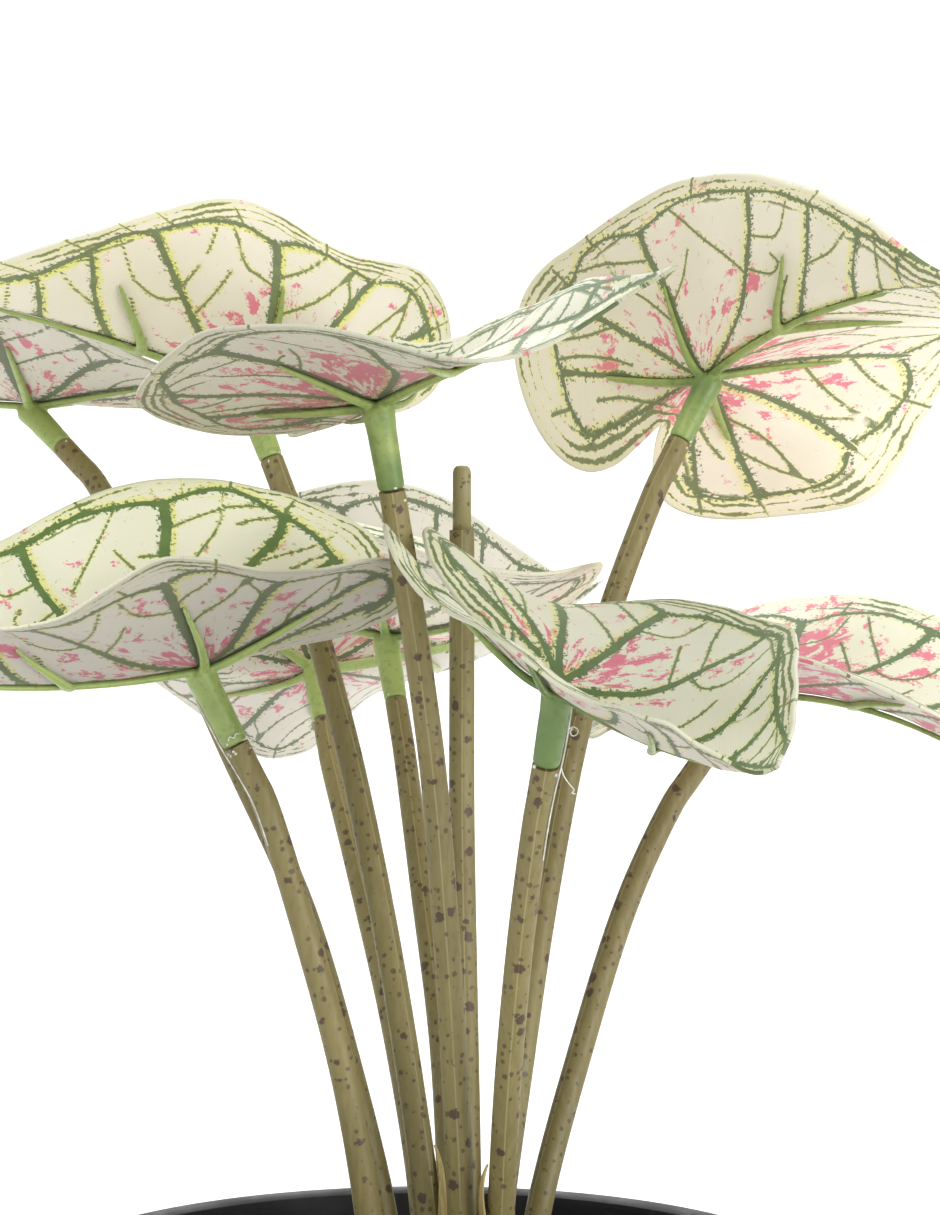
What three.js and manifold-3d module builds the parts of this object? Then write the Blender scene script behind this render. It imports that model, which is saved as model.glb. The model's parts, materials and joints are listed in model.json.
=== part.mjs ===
// A potted caladium: nine leafed stems and one bare stem in a filled nursery pot.
//
// Lengths are millimetres and angles are degrees. +Z is up, the front is toward -Y, and the
// origin is the middle of the pot's underside. Each leaf is drawn flat first, in a plane of
// its own: u runs along the midrib, from the spot where the stem meets the leaf toward the
// tip, and v runs across it, positive on the left. bladePoint folds, leans, ruffles, bends and
// twists that flat leaf, and the plant's group turns the leaf and carries it to its place.

import * as THREE from "three";
import { mergeVertices } from "three/addons/utils/BufferGeometryUtils.js";
import Module from "manifold-3d";

const wasm = await Module();
wasm.setup();

// Clearance between two pieces that sit on or in each other.
const SEAT_GAP = 0.3;

// Pot.
const POT_HEIGHT = 118;
const POT_BASE_RADIUS = 48;
const POT_MOUTH_RADIUS = 62;
const POT_RIM_RADIUS = 65;
const POT_RIM_HEIGHT = 7.5;
const POT_WALL = 2.2;
const POT_FLOOR = 3;
const POT_CORNER = 1.5;
const ROUND_SIDES = 40;

// Weighted fill that the stems stand in.
const FILL_TOP = 105;
const FILL_CROWN = 3;
const HOLE_CLEARANCE = 0.35;

// Stems.
const STEM_RADIUS = 2.05;
const STEM_SIDES = 10;
const STEM_STEPS = 12;
const STEM_BURIED = 36;
const HIDDEN_PEG = { radius: 1.15, length: 9 };
const BARE_PEG = { radius: 1.5, length: 10.4 };
const SHEATH_HEIGHT = 19;
const SHEATH_RADIUS = 3.1;

// Rib clip: the moulded socket with arms that carries a leaf.
const SOCKET_LENGTH = 12;
const SOCKET_RADIUS = 2.25;
const SOCKET_FOOT_RADIUS = 2.05;
const SOCKET_SIDES = 10;
const BORE_RADIUS = 1.45;
const BORE_END = 2.4;
const HUB_DROP = 1.6;
const CUT_DETAIL = 0.15;
const ARM_GAP = 0.6;
const ARM_ROOT = { width: 2.1, thickness: 1.4 };
const ARM_END = { width: 0.9, thickness: 0.7 };
const ARM_SECTION = [[1, 0], [-1, 0], [-0.6, 1], [0.6, 1]];

// Leaf.
const LEAF_THICKNESS = 0.7;
const LEAF_SCALE = 1.12;
const HALF_WIDTH = 38;
const TIP_LENGTH = 66;
const LOBE_LENGTH = 35;
const FOLD_SOFTNESS = 2.5;
const LEAN_SOFTNESS = 8;
const RUFFLE_SPREAD = 28;
const LEAF_RINGS = [0.2, 0.45, 0.73, 1];

// Left half of the flat leaf's outline, from the tip to the bottom of the notch.
const HALF_OUTLINE = [
  [66, 0], [61, 1], [57, 3], [52.5, 7.5], [45, 15], [37, 22.5], [28, 29.5], [18, 34.5],
  [8, 37.3], [-2, 38], [-12, 37.5], [-21, 35], [-28, 31], [-33, 25], [-35.5, 18],
  [-35, 11.5], [-32, 6.5], [-27, 3.2], [-21, 1.4], [-15, 0],
];

// Centre lines of the clip's arms on the flat leaf, from the hub outward.
const ARM_LINES = [
  [[0, 0], [7, 0], [16, 0], [26, 0], [36, 0], [46, 0]],
  [[0, 0], [0.2, 4], [0.6, 12], [1, 21]],
  [[0, 0], [0.2, -4], [0.6, -12], [1, -21]],
  [[0, 0], [-4, 2.6], [-11, 7], [-19, 12]],
  [[0, 0], [-4, -2.6], [-11, -7], [-19, -12]],
  [[20, 0], [24, 5], [27, 9], [29, 13]],
  [[20, 0], [24, -5], [27, -9], [29, -13]],
];

// The leafed stems, named by where their leaves hang. A leaf's left is the side of +v. A way is
// where the stem runs, from the top of the fill to just under the clip.
const PLANTS = [
  {
    name: "upper_left",
    leafAt: [-30, 24, 261],
    leaf: {
      yaw: -137, pitch: 15, roll: 4, size: 1.02,
      left: { fold: 43, curl: 43, lean: 22 },
      right: { fold: 30, curl: -5, lean: 22 },
      tipBend: -4, lobeBend: 13, twist: -4,
      ruffles: [[34, -5.5], [62, -10], [104, -13], [-58, -4.5], [-119, 1]],
    },
    way: [
      [2, -8, 105], [1, -6.5, 125], [-2.5, -2, 150], [-7, 3.5, 175],
      [-12.5, 9, 200], [-18.5, 14, 222], [-22.5, 18.5, 239.5],
    ],
    sheath: true,
  },
  {
    name: "far_upper_left",
    leafAt: [-72.5, 60, 261],
    leaf: {
      yaw: -172, pitch: 3, roll: -8, size: 0.99,
      left: { fold: 33, curl: 0, lean: 10 },
      right: { fold: 14, curl: 0, lean: 9 },
      tipBend: -10, lobeBend: 0, twist: 0,
      ruffles: [[125, -7], [-125, -2]],
    },
    way: [
      [-4, -4, 105], [-6, -3.5, 125], [-12, -1, 150], [-20, 6, 175],
      [-32.5, 17, 200], [-44, 30, 222], [-59.5, 48, 246.5],
    ],
  },
  {
    name: "upper_middle",
    leafAt: [-6.5, -32.5, 254.5],
    leaf: {
      yaw: -60, pitch: 11, roll: 0, size: 1,
      left: { fold: 6, curl: 20, lean: -53 },
      right: { fold: 12, curl: -3, lean: 27 },
      tipBend: 31, lobeBend: 9, twist: -9,
      ruffles: [[52, 3.5], [116, 4.5], [-22, -16.5], [-60, -9.5], [-106, -3.5]],
    },
    way: [
      [6, -12, 105], [6, -12.5, 125], [5, -14.5, 150],
      [3.5, -17.5, 175], [1.5, -21.5, 200], [-3, -28, 232.5],
    ],
  },
  {
    name: "lower_left",
    leafAt: [-34, -22, 215],
    leaf: {
      yaw: -150, pitch: -10, roll: -14, size: 0.95,
      left: { fold: 53, curl: 4, lean: 31 },
      right: { fold: 40, curl: -10, lean: -15 },
      tipBend: 27, lobeBend: -2, twist: -6,
      ruffles: [[60, -11.5], [117, -9], [-51, -2], [-128, -2.5]],
    },
    way: [
      [-6.5, -13, 105], [-8, -13.5, 125], [-12, -15.5, 150], [-18.5, -17.5, 175], [-24.5, -19.5, 194.5],
    ],
  },
  {
    name: "upper_right",
    leafAt: [48, 34, 264],
    leaf: {
      yaw: -64, pitch: 19, roll: 9, size: 1.06,
      left: { fold: -4, curl: -15, lean: 24 },
      right: { fold: 34, curl: -7, lean: 52 },
      tipBend: -13, lobeBend: -41, twist: 4,
      ruffles: [[25, -6], [130, -10], [-53, -0.5], [-153, 11]],
    },
    way: [
      [11, -4, 105], [12, -2, 125], [15.5, 3, 150], [19.5, 9, 175],
      [24.5, 16, 200], [30.5, 22, 222], [39, 28, 244],
    ],
  },
  {
    name: "lower_middle",
    leafAt: [20, -48, 212.5],
    leaf: {
      yaw: -26, pitch: -32, roll: 50, size: 0.81,
      left: { fold: -16, curl: -12, lean: -5 },
      right: { fold: 84, curl: -23, lean: -4 },
      tipBend: 24, lobeBend: 14, twist: 20,
      ruffles: [[29, 15.5], [121, -21], [-23, 15], [-118, -12]],
    },
    way: [
      [12, -13.5, 105], [12, -15.5, 125], [13, -21.5, 150], [15, -30.5, 175], [17, -37.5, 192],
    ],
    sheath: true,
  },
  {
    name: "back_lower",
    leafAt: [-23, 94, 212],
    leaf: {
      yaw: 17, pitch: 5, roll: -61, size: 0.98,
      left: { fold: 40, curl: 5, lean: 9 },
      right: { fold: 48, curl: 0, lean: 35 },
      tipBend: 37, lobeBend: 52, twist: -5,
      ruffles: [[51, 7.5], [100, -8.5], [-55, 0], [-120, -1]],
    },
    way: [
      [0.5, 14.5, 105], [-1, 23, 125], [-6, 40.5, 150], [-13, 61.5, 175], [-19, 79, 195],
    ],
  },
  {
    name: "back_middle",
    leafAt: [-7.5, 60, 219],
    leaf: {
      yaw: 171, pitch: 11, roll: 22, size: 0.96,
      left: { fold: 3, curl: 0, lean: -4 },
      right: { fold: 47, curl: 0, lean: 36 },
      tipBend: 3, lobeBend: 42, twist: -1,
      ruffles: [[55, 2.5], [127, -5.5], [-56, 1.5], [-122, 0.5]],
    },
    way: [
      [4, 8, 105], [4, 13.5, 125], [2.5, 24.5, 150], [-1, 36.5, 175], [-4.5, 49.5, 199],
    ],
  },
  {
    name: "lower_right",
    leafAt: [54.5, 32, 209.5],
    leaf: {
      yaw: -36, pitch: 3, roll: -7, size: 0.93,
      left: { fold: 27, curl: 11, lean: -13 },
      right: { fold: 22, curl: -28, lean: 40 },
      tipBend: -47, lobeBend: -31, twist: -4,
      ruffles: [[54, 1], [120, 0.5], [-55, -0.5], [-137, -8]],
    },
    way: [
      [15.5, 6, 105], [18.5, 9, 125], [25.5, 15, 150], [34, 21.5, 175], [42, 26.5, 191],
    ],
  },
];

// The bare stem's way, ending at the shoulder where its peg starts.
const BARE_STEM = [
  [7, 1, 105], [7, 1, 130], [6.5, 1, 160], [6, 0, 190], [6, 0, 215], [6, 0, 236],
];

const radians = THREE.MathUtils.degToRad;

// Joining and cutting.

function toSolid(geometry) {
  const bare = geometry.clone();
  bare.deleteAttribute("normal");
  bare.deleteAttribute("uv");
  const merged = mergeVertices(bare, 1e-4);
  return new wasm.Manifold(new wasm.Mesh({
    numProp: 3,
    vertProperties: merged.attributes.position.array,
    triVerts: new Uint32Array(merged.index.array),
  }));
}

function toGeometry(solid) {
  const { vertProperties, triVerts } = solid.getMesh();
  const geometry = new THREE.BufferGeometry();
  geometry.setAttribute("position", new THREE.BufferAttribute(vertProperties, 3));
  geometry.setIndex(new THREE.BufferAttribute(triVerts, 1));
  geometry.computeVertexNormals();
  return geometry;
}

function largestBody(solid) {
  const bodies = solid.decompose();
  return bodies.reduce((best, body) => (body.volume() > best.volume() ? body : best));
}

// The flat leaf's point (u, v) on the folded, leaning, ruffled, bent and twisted leaf.
function bladePoint(leaf, u, v) {
  const side = v >= 0 ? leaf.left : leaf.right;
  const reach = Math.abs(v);
  const rise = radians(side.fold) * reach / (reach + FOLD_SOFTNESS)
    + radians(side.curl) * reach / (2 * HALF_WIDTH);
  const lean = radians(side.lean);
  const along = u + reach * Math.sin(lean) * reach / (reach + LEAN_SOFTNESS);
  const across = Math.sign(v) * reach * Math.cos(rise) * Math.cos(lean);
  let up = reach * Math.sin(rise);
  const share = Math.hypot(u, v) / HALF_WIDTH;
  const bearing = THREE.MathUtils.radToDeg(Math.atan2(v, u));
  for (const [direction, height] of leaf.ruffles) {
    const off = THREE.MathUtils.euclideanModulo(bearing - direction + 180, 360) - 180;
    up += height * share ** 2 * Math.exp(-((off / RUFFLE_SPREAD) ** 2));
  }
  const twist = radians(leaf.twist) * along / TIP_LENGTH;
  const y = across * Math.cos(twist) - up * Math.sin(twist);
  const lift = across * Math.sin(twist) + up * Math.cos(twist);
  const ahead = along >= 0 ? 1 : -1;
  const bend = along >= 0
    ? radians(leaf.tipBend) * along / TIP_LENGTH / 2
    : radians(leaf.lobeBend) * -along / LOBE_LENGTH / 2;
  const x = along * Math.cos(bend) - ahead * lift * Math.sin(2 * bend);
  const z = Math.abs(along) * Math.sin(bend) + lift * Math.cos(2 * bend);
  return new THREE.Vector3(x, y, z).multiplyScalar(LEAF_SCALE * leaf.size);
}

// Unit vector out of the leaf's upper face at (u, v).
function bladeNormal(leaf, u, v) {
  const step = 0.4;
  const alongU = bladePoint(leaf, u + step, v).sub(bladePoint(leaf, u - step, v));
  const alongV = bladePoint(leaf, u, v + step).sub(bladePoint(leaf, u, v - step));
  return alongU.cross(alongV).normalize();
}

// A point at a given height over the middle of the leaf's thickness.
function offBlade(leaf, u, v, height) {
  return bladePoint(leaf, u, v).addScaledVector(bladeNormal(leaf, u, v), height);
}

// Closed sheet around the blade: rings of the outline about the hub, split alike on both faces.
function leafGeometry(leaf, halfThickness) {
  const rightHalf = HALF_OUTLINE.slice(1, -1).reverse().map(([u, v]) => [u, -v]);
  const outline = [...HALF_OUTLINE, ...rightHalf];
  const count = outline.length;
  const flat = [[0, 0]];
  for (const ring of LEAF_RINGS) {
    for (const [u, v] of outline) flat.push([u * ring, v * ring]);
  }
  const upper = flat.map(([u, v]) => offBlade(leaf, u, v, halfThickness));
  const lower = flat.map(([u, v]) => offBlade(leaf, u, v, -halfThickness));
  const faces = [];
  for (let i = 0; i < count; i += 1) {
    const next = (i + 1) % count;
    faces.push([0, 1 + i, 1 + next]);
    for (let ring = 1; ring < LEAF_RINGS.length; ring += 1) {
      const inner = 1 + (ring - 1) * count;
      const outer = inner + count;
      faces.push([inner + i, outer + i, outer + next]);
      faces.push([inner + i, outer + next, inner + next]);
    }
  }
  const index = [];
  for (const [a, b, c] of faces) {
    index.push(a, b, c);
    index.push(flat.length + a, flat.length + c, flat.length + b);
  }
  const edge = 1 + (LEAF_RINGS.length - 1) * count;
  for (let i = 0; i < count; i += 1) {
    const a = edge + i;
    const b = edge + (i + 1) % count;
    index.push(a, flat.length + a, flat.length + b);
    index.push(a, flat.length + b, b);
  }
  const geometry = new THREE.BufferGeometry();
  const positions = [...upper, ...lower].flatMap((point) => point.toArray());
  geometry.setAttribute("position", new THREE.Float32BufferAttribute(positions, 3));
  geometry.setIndex(index);
  geometry.computeVertexNormals();
  return geometry;
}

// One tapering arm of the rib clip, under the leaf along a line of the flat leaf.
function armGeometry(leaf, line) {
  const top = -(LEAF_THICKNESS / 2 + ARM_GAP);
  const points = [];
  line.forEach(([u, v], i) => {
    const [u0, v0] = line[Math.max(i - 1, 0)];
    const [u1, v1] = line[Math.min(i + 1, line.length - 1)];
    const length = Math.hypot(u1 - u0, v1 - v0);
    const taper = i / (line.length - 1);
    const width = THREE.MathUtils.lerp(ARM_ROOT.width, ARM_END.width, taper) / LEAF_SCALE;
    const thickness = THREE.MathUtils.lerp(ARM_ROOT.thickness, ARM_END.thickness, taper);
    const sideU = -(v1 - v0) / length * width / 2;
    const sideV = (u1 - u0) / length * width / 2;
    for (const [across, depth] of ARM_SECTION) {
      const height = top - depth * thickness;
      points.push(offBlade(leaf, u + across * sideU, v + across * sideV, height));
    }
  });
  const sides = ARM_SECTION.length;
  const index = [];
  for (let i = 0; i < line.length - 1; i += 1) {
    for (let k = 0; k < sides; k += 1) {
      const a = i * sides + k;
      const b = i * sides + (k + 1) % sides;
      index.push(a, b, b + sides, a, b + sides, a + sides);
    }
  }
  const last = (line.length - 1) * sides;
  for (let k = 1; k < sides - 1; k += 1) {
    index.push(0, k + 1, k);
    index.push(last, last + k, last + k + 1);
  }
  const geometry = new THREE.BufferGeometry();
  const positions = points.flatMap((point) => point.toArray());
  geometry.setAttribute("position", new THREE.Float32BufferAttribute(positions, 3));
  geometry.setIndex(index);
  return geometry;
}

// Turns a piece built along +Y so that it points the given way from the clip's hub.
function fromHub(geometry, direction) {
  const turn = new THREE.Quaternion().setFromUnitVectors(new THREE.Vector3(0, 1, 0), direction);
  return geometry.applyQuaternion(turn).translate(0, 0, -HUB_DROP);
}

// Rib clip in the leaf's own frame; direction is where its stem points, up the socket.
function clipGeometry(leaf, direction) {
  const outside = [
    [0, 1.1], [1.3, 0.9], [2, 0.1], [SOCKET_RADIUS, -1.4], [SOCKET_FOOT_RADIUS, -SOCKET_LENGTH],
    [0, -SOCKET_LENGTH],
  ].reverse().map(([r, y]) => new THREE.Vector2(r, y));
  const socket = new THREE.LatheGeometry(outside, SOCKET_SIDES);
  const boreDepth = SOCKET_LENGTH - BORE_END + 1;
  const bore = new THREE.CylinderGeometry(BORE_RADIUS, BORE_RADIUS, boreDepth, SOCKET_SIDES);
  bore.translate(0, -BORE_END - boreDepth / 2, 0);
  let clip = toSolid(fromHub(socket, direction));
  for (const line of ARM_LINES) clip = clip.add(toSolid(armGeometry(leaf, line)));
  clip = clip.subtract(toSolid(leafGeometry(leaf, LEAF_THICKNESS / 2 + SEAT_GAP)));
  clip = clip.subtract(toSolid(fromHub(bore, direction)));
  return toGeometry(largestBody(clip.simplify(CUT_DETAIL)));
}

// A round bar along a smooth curve through the points.
function barGeometry(points, radius, sides, steps) {
  const section = new THREE.Shape();
  for (let i = 0; i < sides; i += 1) {
    const angle = 2 * Math.PI * i / sides;
    const corner = [radius * Math.cos(angle), radius * Math.sin(angle)];
    if (i === 0) section.moveTo(...corner);
    else section.lineTo(...corner);
  }
  section.closePath();
  const extrudePath = new THREE.CatmullRomCurve3(points, false, "centripetal");
  return new THREE.ExtrudeGeometry(section, { extrudePath, steps, bevelEnabled: false });
}

function straightBar(from, to, radius, sides) {
  return barGeometry([from, to], radius, sides, 1);
}

// Where a stem's bar runs: straight down in the fill, then through its way points.
function stemRoute(way, shoulder, direction) {
  const buried = way[0].clone();
  buried.z -= STEM_BURIED;
  const below = shoulder.clone().addScaledVector(direction, -6);
  return [buried, ...way, below, shoulder];
}

// A stem with the peg that its clip would be pushed onto, and a dry leaf sheath at some feet.
function stemGeometry(route, shoulder, direction, peg, hasSheath) {
  let stem = toSolid(barGeometry(route, STEM_RADIUS, STEM_SIDES, STEM_STEPS));
  const inside = shoulder.clone().addScaledVector(direction, -1.5);
  const pegTop = shoulder.clone().addScaledVector(direction, peg.length);
  stem = stem.add(toSolid(straightBar(inside, pegTop, peg.radius, STEM_SIDES)));
  if (hasSheath) {
    const sheath = new THREE.CylinderGeometry(
      STEM_RADIUS + 0.1, SHEATH_RADIUS, SHEATH_HEIGHT, STEM_SIDES,
    );
    sheath.rotateX(Math.PI / 2);
    const foot = route[1];
    const lean = route[2].clone().sub(foot).normalize();
    const turn = new THREE.Quaternion().setFromUnitVectors(new THREE.Vector3(0, 0, 1), lean);
    sheath.applyQuaternion(turn);
    const middle = foot.clone().addScaledVector(lean, 2 + SHEATH_HEIGHT / 2);
    stem = stem.add(toSolid(sheath.translate(...middle.toArray())));
  }
  return toGeometry(stem);
}

// What a stem takes out of the fill: its own bar made wider, and a little deeper.
function holeSolid(route) {
  const radius = STEM_RADIUS + HOLE_CLEARANCE;
  const bar = toSolid(barGeometry(route, radius, STEM_SIDES, STEM_STEPS));
  const above = route[0].clone();
  above.z += 1;
  const below = route[0].clone();
  below.z -= SEAT_GAP;
  return bar.add(toSolid(straightBar(below, above, radius, STEM_SIDES)));
}

// Pot.

function wallRadius(z) {
  const share = z / (POT_HEIGHT - POT_RIM_HEIGHT);
  return THREE.MathUtils.lerp(POT_BASE_RADIUS, POT_MOUTH_RADIUS, share);
}

function latheAboutZ(profile) {
  const points = profile.map(([r, z]) => new THREE.Vector2(r, z));
  return new THREE.LatheGeometry(points, ROUND_SIDES).rotateX(Math.PI / 2);
}

function potGeometry() {
  const rimBottom = POT_HEIGHT - POT_RIM_HEIGHT;
  return latheAboutZ([
    [0, 0],
    [POT_BASE_RADIUS - POT_CORNER, 0],
    [wallRadius(POT_CORNER), POT_CORNER],
    [POT_MOUTH_RADIUS, rimBottom],
    [POT_RIM_RADIUS - 0.8, rimBottom],
    [POT_RIM_RADIUS, rimBottom + 0.8],
    [POT_RIM_RADIUS, POT_HEIGHT - 1],
    [POT_RIM_RADIUS - 1, POT_HEIGHT],
    [POT_MOUTH_RADIUS - POT_WALL + 1, POT_HEIGHT],
    [POT_MOUTH_RADIUS - POT_WALL, POT_HEIGHT - 1],
    [POT_MOUTH_RADIUS - POT_WALL, rimBottom],
    [wallRadius(POT_FLOOR) - POT_WALL, POT_FLOOR],
    [0, POT_FLOOR],
  ]);
}

// Fill: a plug with a low crown, cut by one plain hole for each stem.
function fillGeometry(routes) {
  const bottom = POT_FLOOR + SEAT_GAP;
  const inner = (z) => wallRadius(z) - POT_WALL - SEAT_GAP;
  const edgeTop = FILL_TOP - FILL_CROWN;
  let fill = toSolid(latheAboutZ([
    [0, bottom],
    [inner(bottom), bottom],
    [inner(edgeTop), edgeTop],
    [48, FILL_TOP - 1.2],
    [32, FILL_TOP],
    [0, FILL_TOP],
  ]));
  for (const route of routes) fill = fill.subtract(holeSolid(route));
  return toGeometry(fill.simplify(CUT_DETAIL));
}

// Materials.

const potPlastic = new THREE.MeshStandardMaterial({ color: 0x17171a, roughness: 0.45, metalness: 0 });
const fillStone = new THREE.MeshStandardMaterial({ color: 0x2e241c, roughness: 0.95, metalness: 0 });
const stemPlastic = new THREE.MeshStandardMaterial({ color: 0x8a7f48, roughness: 0.5, metalness: 0 });
const clipPlastic = new THREE.MeshStandardMaterial({ color: 0x7f9a4a, roughness: 0.5, metalness: 0 });
const leafFabric = new THREE.MeshStandardMaterial({
  color: 0xe9e8cf, roughness: 0.8, metalness: 0, side: THREE.DoubleSide,
});

// Assembly.

function named(name, geometry, material) {
  const mesh = new THREE.Mesh(geometry, material);
  mesh.name = name;
  return mesh;
}

function leafFrame(plant) {
  const frame = new THREE.Group();
  frame.position.set(...plant.leafAt);
  const { yaw, pitch, roll } = plant.leaf;
  frame.rotation.set(radians(roll), -radians(pitch), radians(yaw), "ZYX");
  frame.updateMatrix();
  return frame;
}

const model = new THREE.Group();
const routes = [];

for (const plant of PLANTS) {
  const frame = leafFrame(plant);
  const hub = new THREE.Vector3(0, 0, -HUB_DROP).applyMatrix4(frame.matrix);
  const way = plant.way.map((point) => new THREE.Vector3(...point));
  const direction = hub.clone().sub(way.at(-1)).normalize();
  const shoulder = hub.clone().addScaledVector(direction, -SOCKET_LENGTH - SEAT_GAP);
  const route = stemRoute(way, shoulder, direction);
  routes.push(route);
  const upSocket = direction.clone().applyQuaternion(frame.quaternion.clone().invert());
  const leaf = leafGeometry(plant.leaf, LEAF_THICKNESS / 2);
  frame.add(named(`leaf_${plant.name}`, leaf, leafFabric));
  frame.add(named(`clip_${plant.name}`, clipGeometry(plant.leaf, upSocket), clipPlastic));
  const stem = stemGeometry(route, shoulder, direction, HIDDEN_PEG, plant.sheath === true);
  model.add(frame, named(`stem_${plant.name}`, stem, stemPlastic));
}

const bareWay = BARE_STEM.map((point) => new THREE.Vector3(...point));
const bareShoulder = bareWay.pop();
const bareDirection = bareShoulder.clone().sub(bareWay.at(-1)).normalize();
const bareRoute = stemRoute(bareWay, bareShoulder, bareDirection);
routes.push(bareRoute);
const bareStem = stemGeometry(bareRoute, bareShoulder, bareDirection, BARE_PEG, false);
model.add(named("stem_bare", bareStem, stemPlastic));

model.add(named("pot", potGeometry(), potPlastic));
model.add(named("fill", fillGeometry(routes), fillStone));

export default model;
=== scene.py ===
"""Dresses the potted caladium: printed leaves on rib clips, speckled stems with two dry sheaths,
glue on the joints, pot, fill and studio.

Lengths on the flat leaf and in the tables are millimetres; Blender's own are metres. Each leaf is
drawn flat first: u runs along the midrib toward the tip and v across it, positive on the left.
"""

import json
import math

import bmesh
import bpy
import numpy as np
from mathutils import Matrix, Vector

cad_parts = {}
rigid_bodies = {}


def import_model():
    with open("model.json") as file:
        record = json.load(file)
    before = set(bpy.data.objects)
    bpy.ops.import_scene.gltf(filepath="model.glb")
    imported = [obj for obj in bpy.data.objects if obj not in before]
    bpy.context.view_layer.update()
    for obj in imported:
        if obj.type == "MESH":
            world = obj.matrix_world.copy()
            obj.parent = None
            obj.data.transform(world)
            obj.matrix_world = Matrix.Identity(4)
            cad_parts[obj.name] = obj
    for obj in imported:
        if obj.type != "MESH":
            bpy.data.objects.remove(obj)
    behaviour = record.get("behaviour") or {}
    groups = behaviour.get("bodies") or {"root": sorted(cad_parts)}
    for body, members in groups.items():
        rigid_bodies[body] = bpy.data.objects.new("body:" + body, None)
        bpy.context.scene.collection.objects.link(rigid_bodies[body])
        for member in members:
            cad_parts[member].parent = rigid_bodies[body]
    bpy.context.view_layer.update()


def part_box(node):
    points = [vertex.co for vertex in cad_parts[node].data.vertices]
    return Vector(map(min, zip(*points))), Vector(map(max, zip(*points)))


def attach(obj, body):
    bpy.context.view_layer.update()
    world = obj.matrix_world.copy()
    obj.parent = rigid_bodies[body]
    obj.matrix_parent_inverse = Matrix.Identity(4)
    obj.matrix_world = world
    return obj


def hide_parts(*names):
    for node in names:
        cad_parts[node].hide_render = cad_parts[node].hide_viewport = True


bl_info = {
    "name": "Potted caladium",
    "version": (1, 0, 0),
    "blender": (4, 5, 0),
    "location": "View3D > Sidebar > Caladium",
    "description": "Dresses the caladium's solids with printed leaves, clips, stems and a pot",
    "category": "Object",
}

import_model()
MM = 0.001

# ---------------------------------------------------------------- sizes, ways and colours

# The flat leaf, and how softly it folds, leans and ruffles.
LEAF_SCALE = 1.12
HALF_WIDTH = 38.0
TIP_LENGTH = 66.0
LOBE_LENGTH = 35.0
FOLD_SOFTNESS = 2.5
LEAN_SOFTNESS = 8.0
RUFFLE_SPREAD = 28.0

# The cloth's puckers: how many waves they are, the waves' lengths, and how far from the hub they
# are at full height.
PUCKER_WAVES = 7
PUCKER_LENGTHS = (9, 20)
PUCKER_CALM = 22

# Rib clips: the hub below the leaf's middle, the socket, and the arms' depth. An arm's tip is the
# share of it that rounds off, to a share of its thickness.
HUB_DROP = 1.6
SOCKET_LENGTH = 12.0
SOCKET_RADIUS = 2.25
SOCKET_FOOT_RADIUS = 2.05
SOCKET_SIDES = 32
ARM_DROP = 0.32
ARM_END_DEPTH = 0.65
ARM_ROOT_EXTRA = 0.75
ARM_TIP_SHARE = 0.05
ARM_TIP_SIZE = 0.15
ARM_ROWS = 26
ARM_SIDES = 12

# Stems.
SEAT_GAP = 0.3
STEM_BURIED = 36.0
STEM_SWEPT_BELOW = 12.0
STEM_STRAIGHT_END = 6.0
STEM_FOOT_RADIUS = 2.2
STEM_TOP_RADIUS = 2.0
PEG_SIDES = 20

# Dry sheaths: how far their inner and outer sides lie off the stem, and how far round they go.
SHEATH_INSIDE = 0.1
SHEATH_OUTSIDE = 0.4
SHEATH_WRAP = math.radians(190)
SHEATH_ROWS = 34
SHEATH_COLS = 13

# Specks of glue: how far round the joint from its front, in radians, and how far up it they are.
SPECK_BEARINGS = (-1.4, 1.4)
SPECK_HEIGHTS = (-1.6, 0.9)

# The fill: a plug with a rough bed on it, which falls off outside its level middle.
FILL_TOP = 105.0
PLUG_BOTTOM = 3.3
PLUG_RADIUS = 45.6
BED_RADIUS = 59.3
BED_LEVEL_RADIUS = 30
BED_FALL = 2.8
BED_RINGS = 60
BED_SIDES = 150
CRUMB_REACH = 56.0
CRUMB_FALL = 2.5

# Left half of the flat leaf's outline, from the tip to the bottom of the notch.
HALF_OUTLINE = [
    (66, 0), (61, 1), (57, 3), (52.5, 7.5), (45, 15), (37, 22.5), (28, 29.5), (18, 34.5),
    (8, 37.3), (-2, 38), (-12, 37.5), (-21, 35), (-28, 31), (-33, 25), (-35.5, 18),
    (-35, 11.5), (-32, 6.5), (-27, 3.2), (-21, 1.4), (-15, 0),
]

# Centre lines of the clip's arms on the flat leaf, from the hub outward: the one along the midrib,
# and those that it has on both sides.
MIDDLE_ARM = [(0, 0), (7, 0), (16, 0), (26, 0), (36, 0), (46, 0)]
SIDE_ARMS = [
    [(0, 0), (0.2, 4), (0.6, 12), (1, 21)],
    [(0, 0), (-4, 2.6), (-11, 7), (-19, 12)],
    [(20, 0), (24, 5), (27, 9), (29, 13)],
]
ARM_LINES = [MIDDLE_ARM]
ARM_LINES += [[(u, v * side) for u, v in line] for line in SIDE_ARMS for side in (1, -1)]

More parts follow.
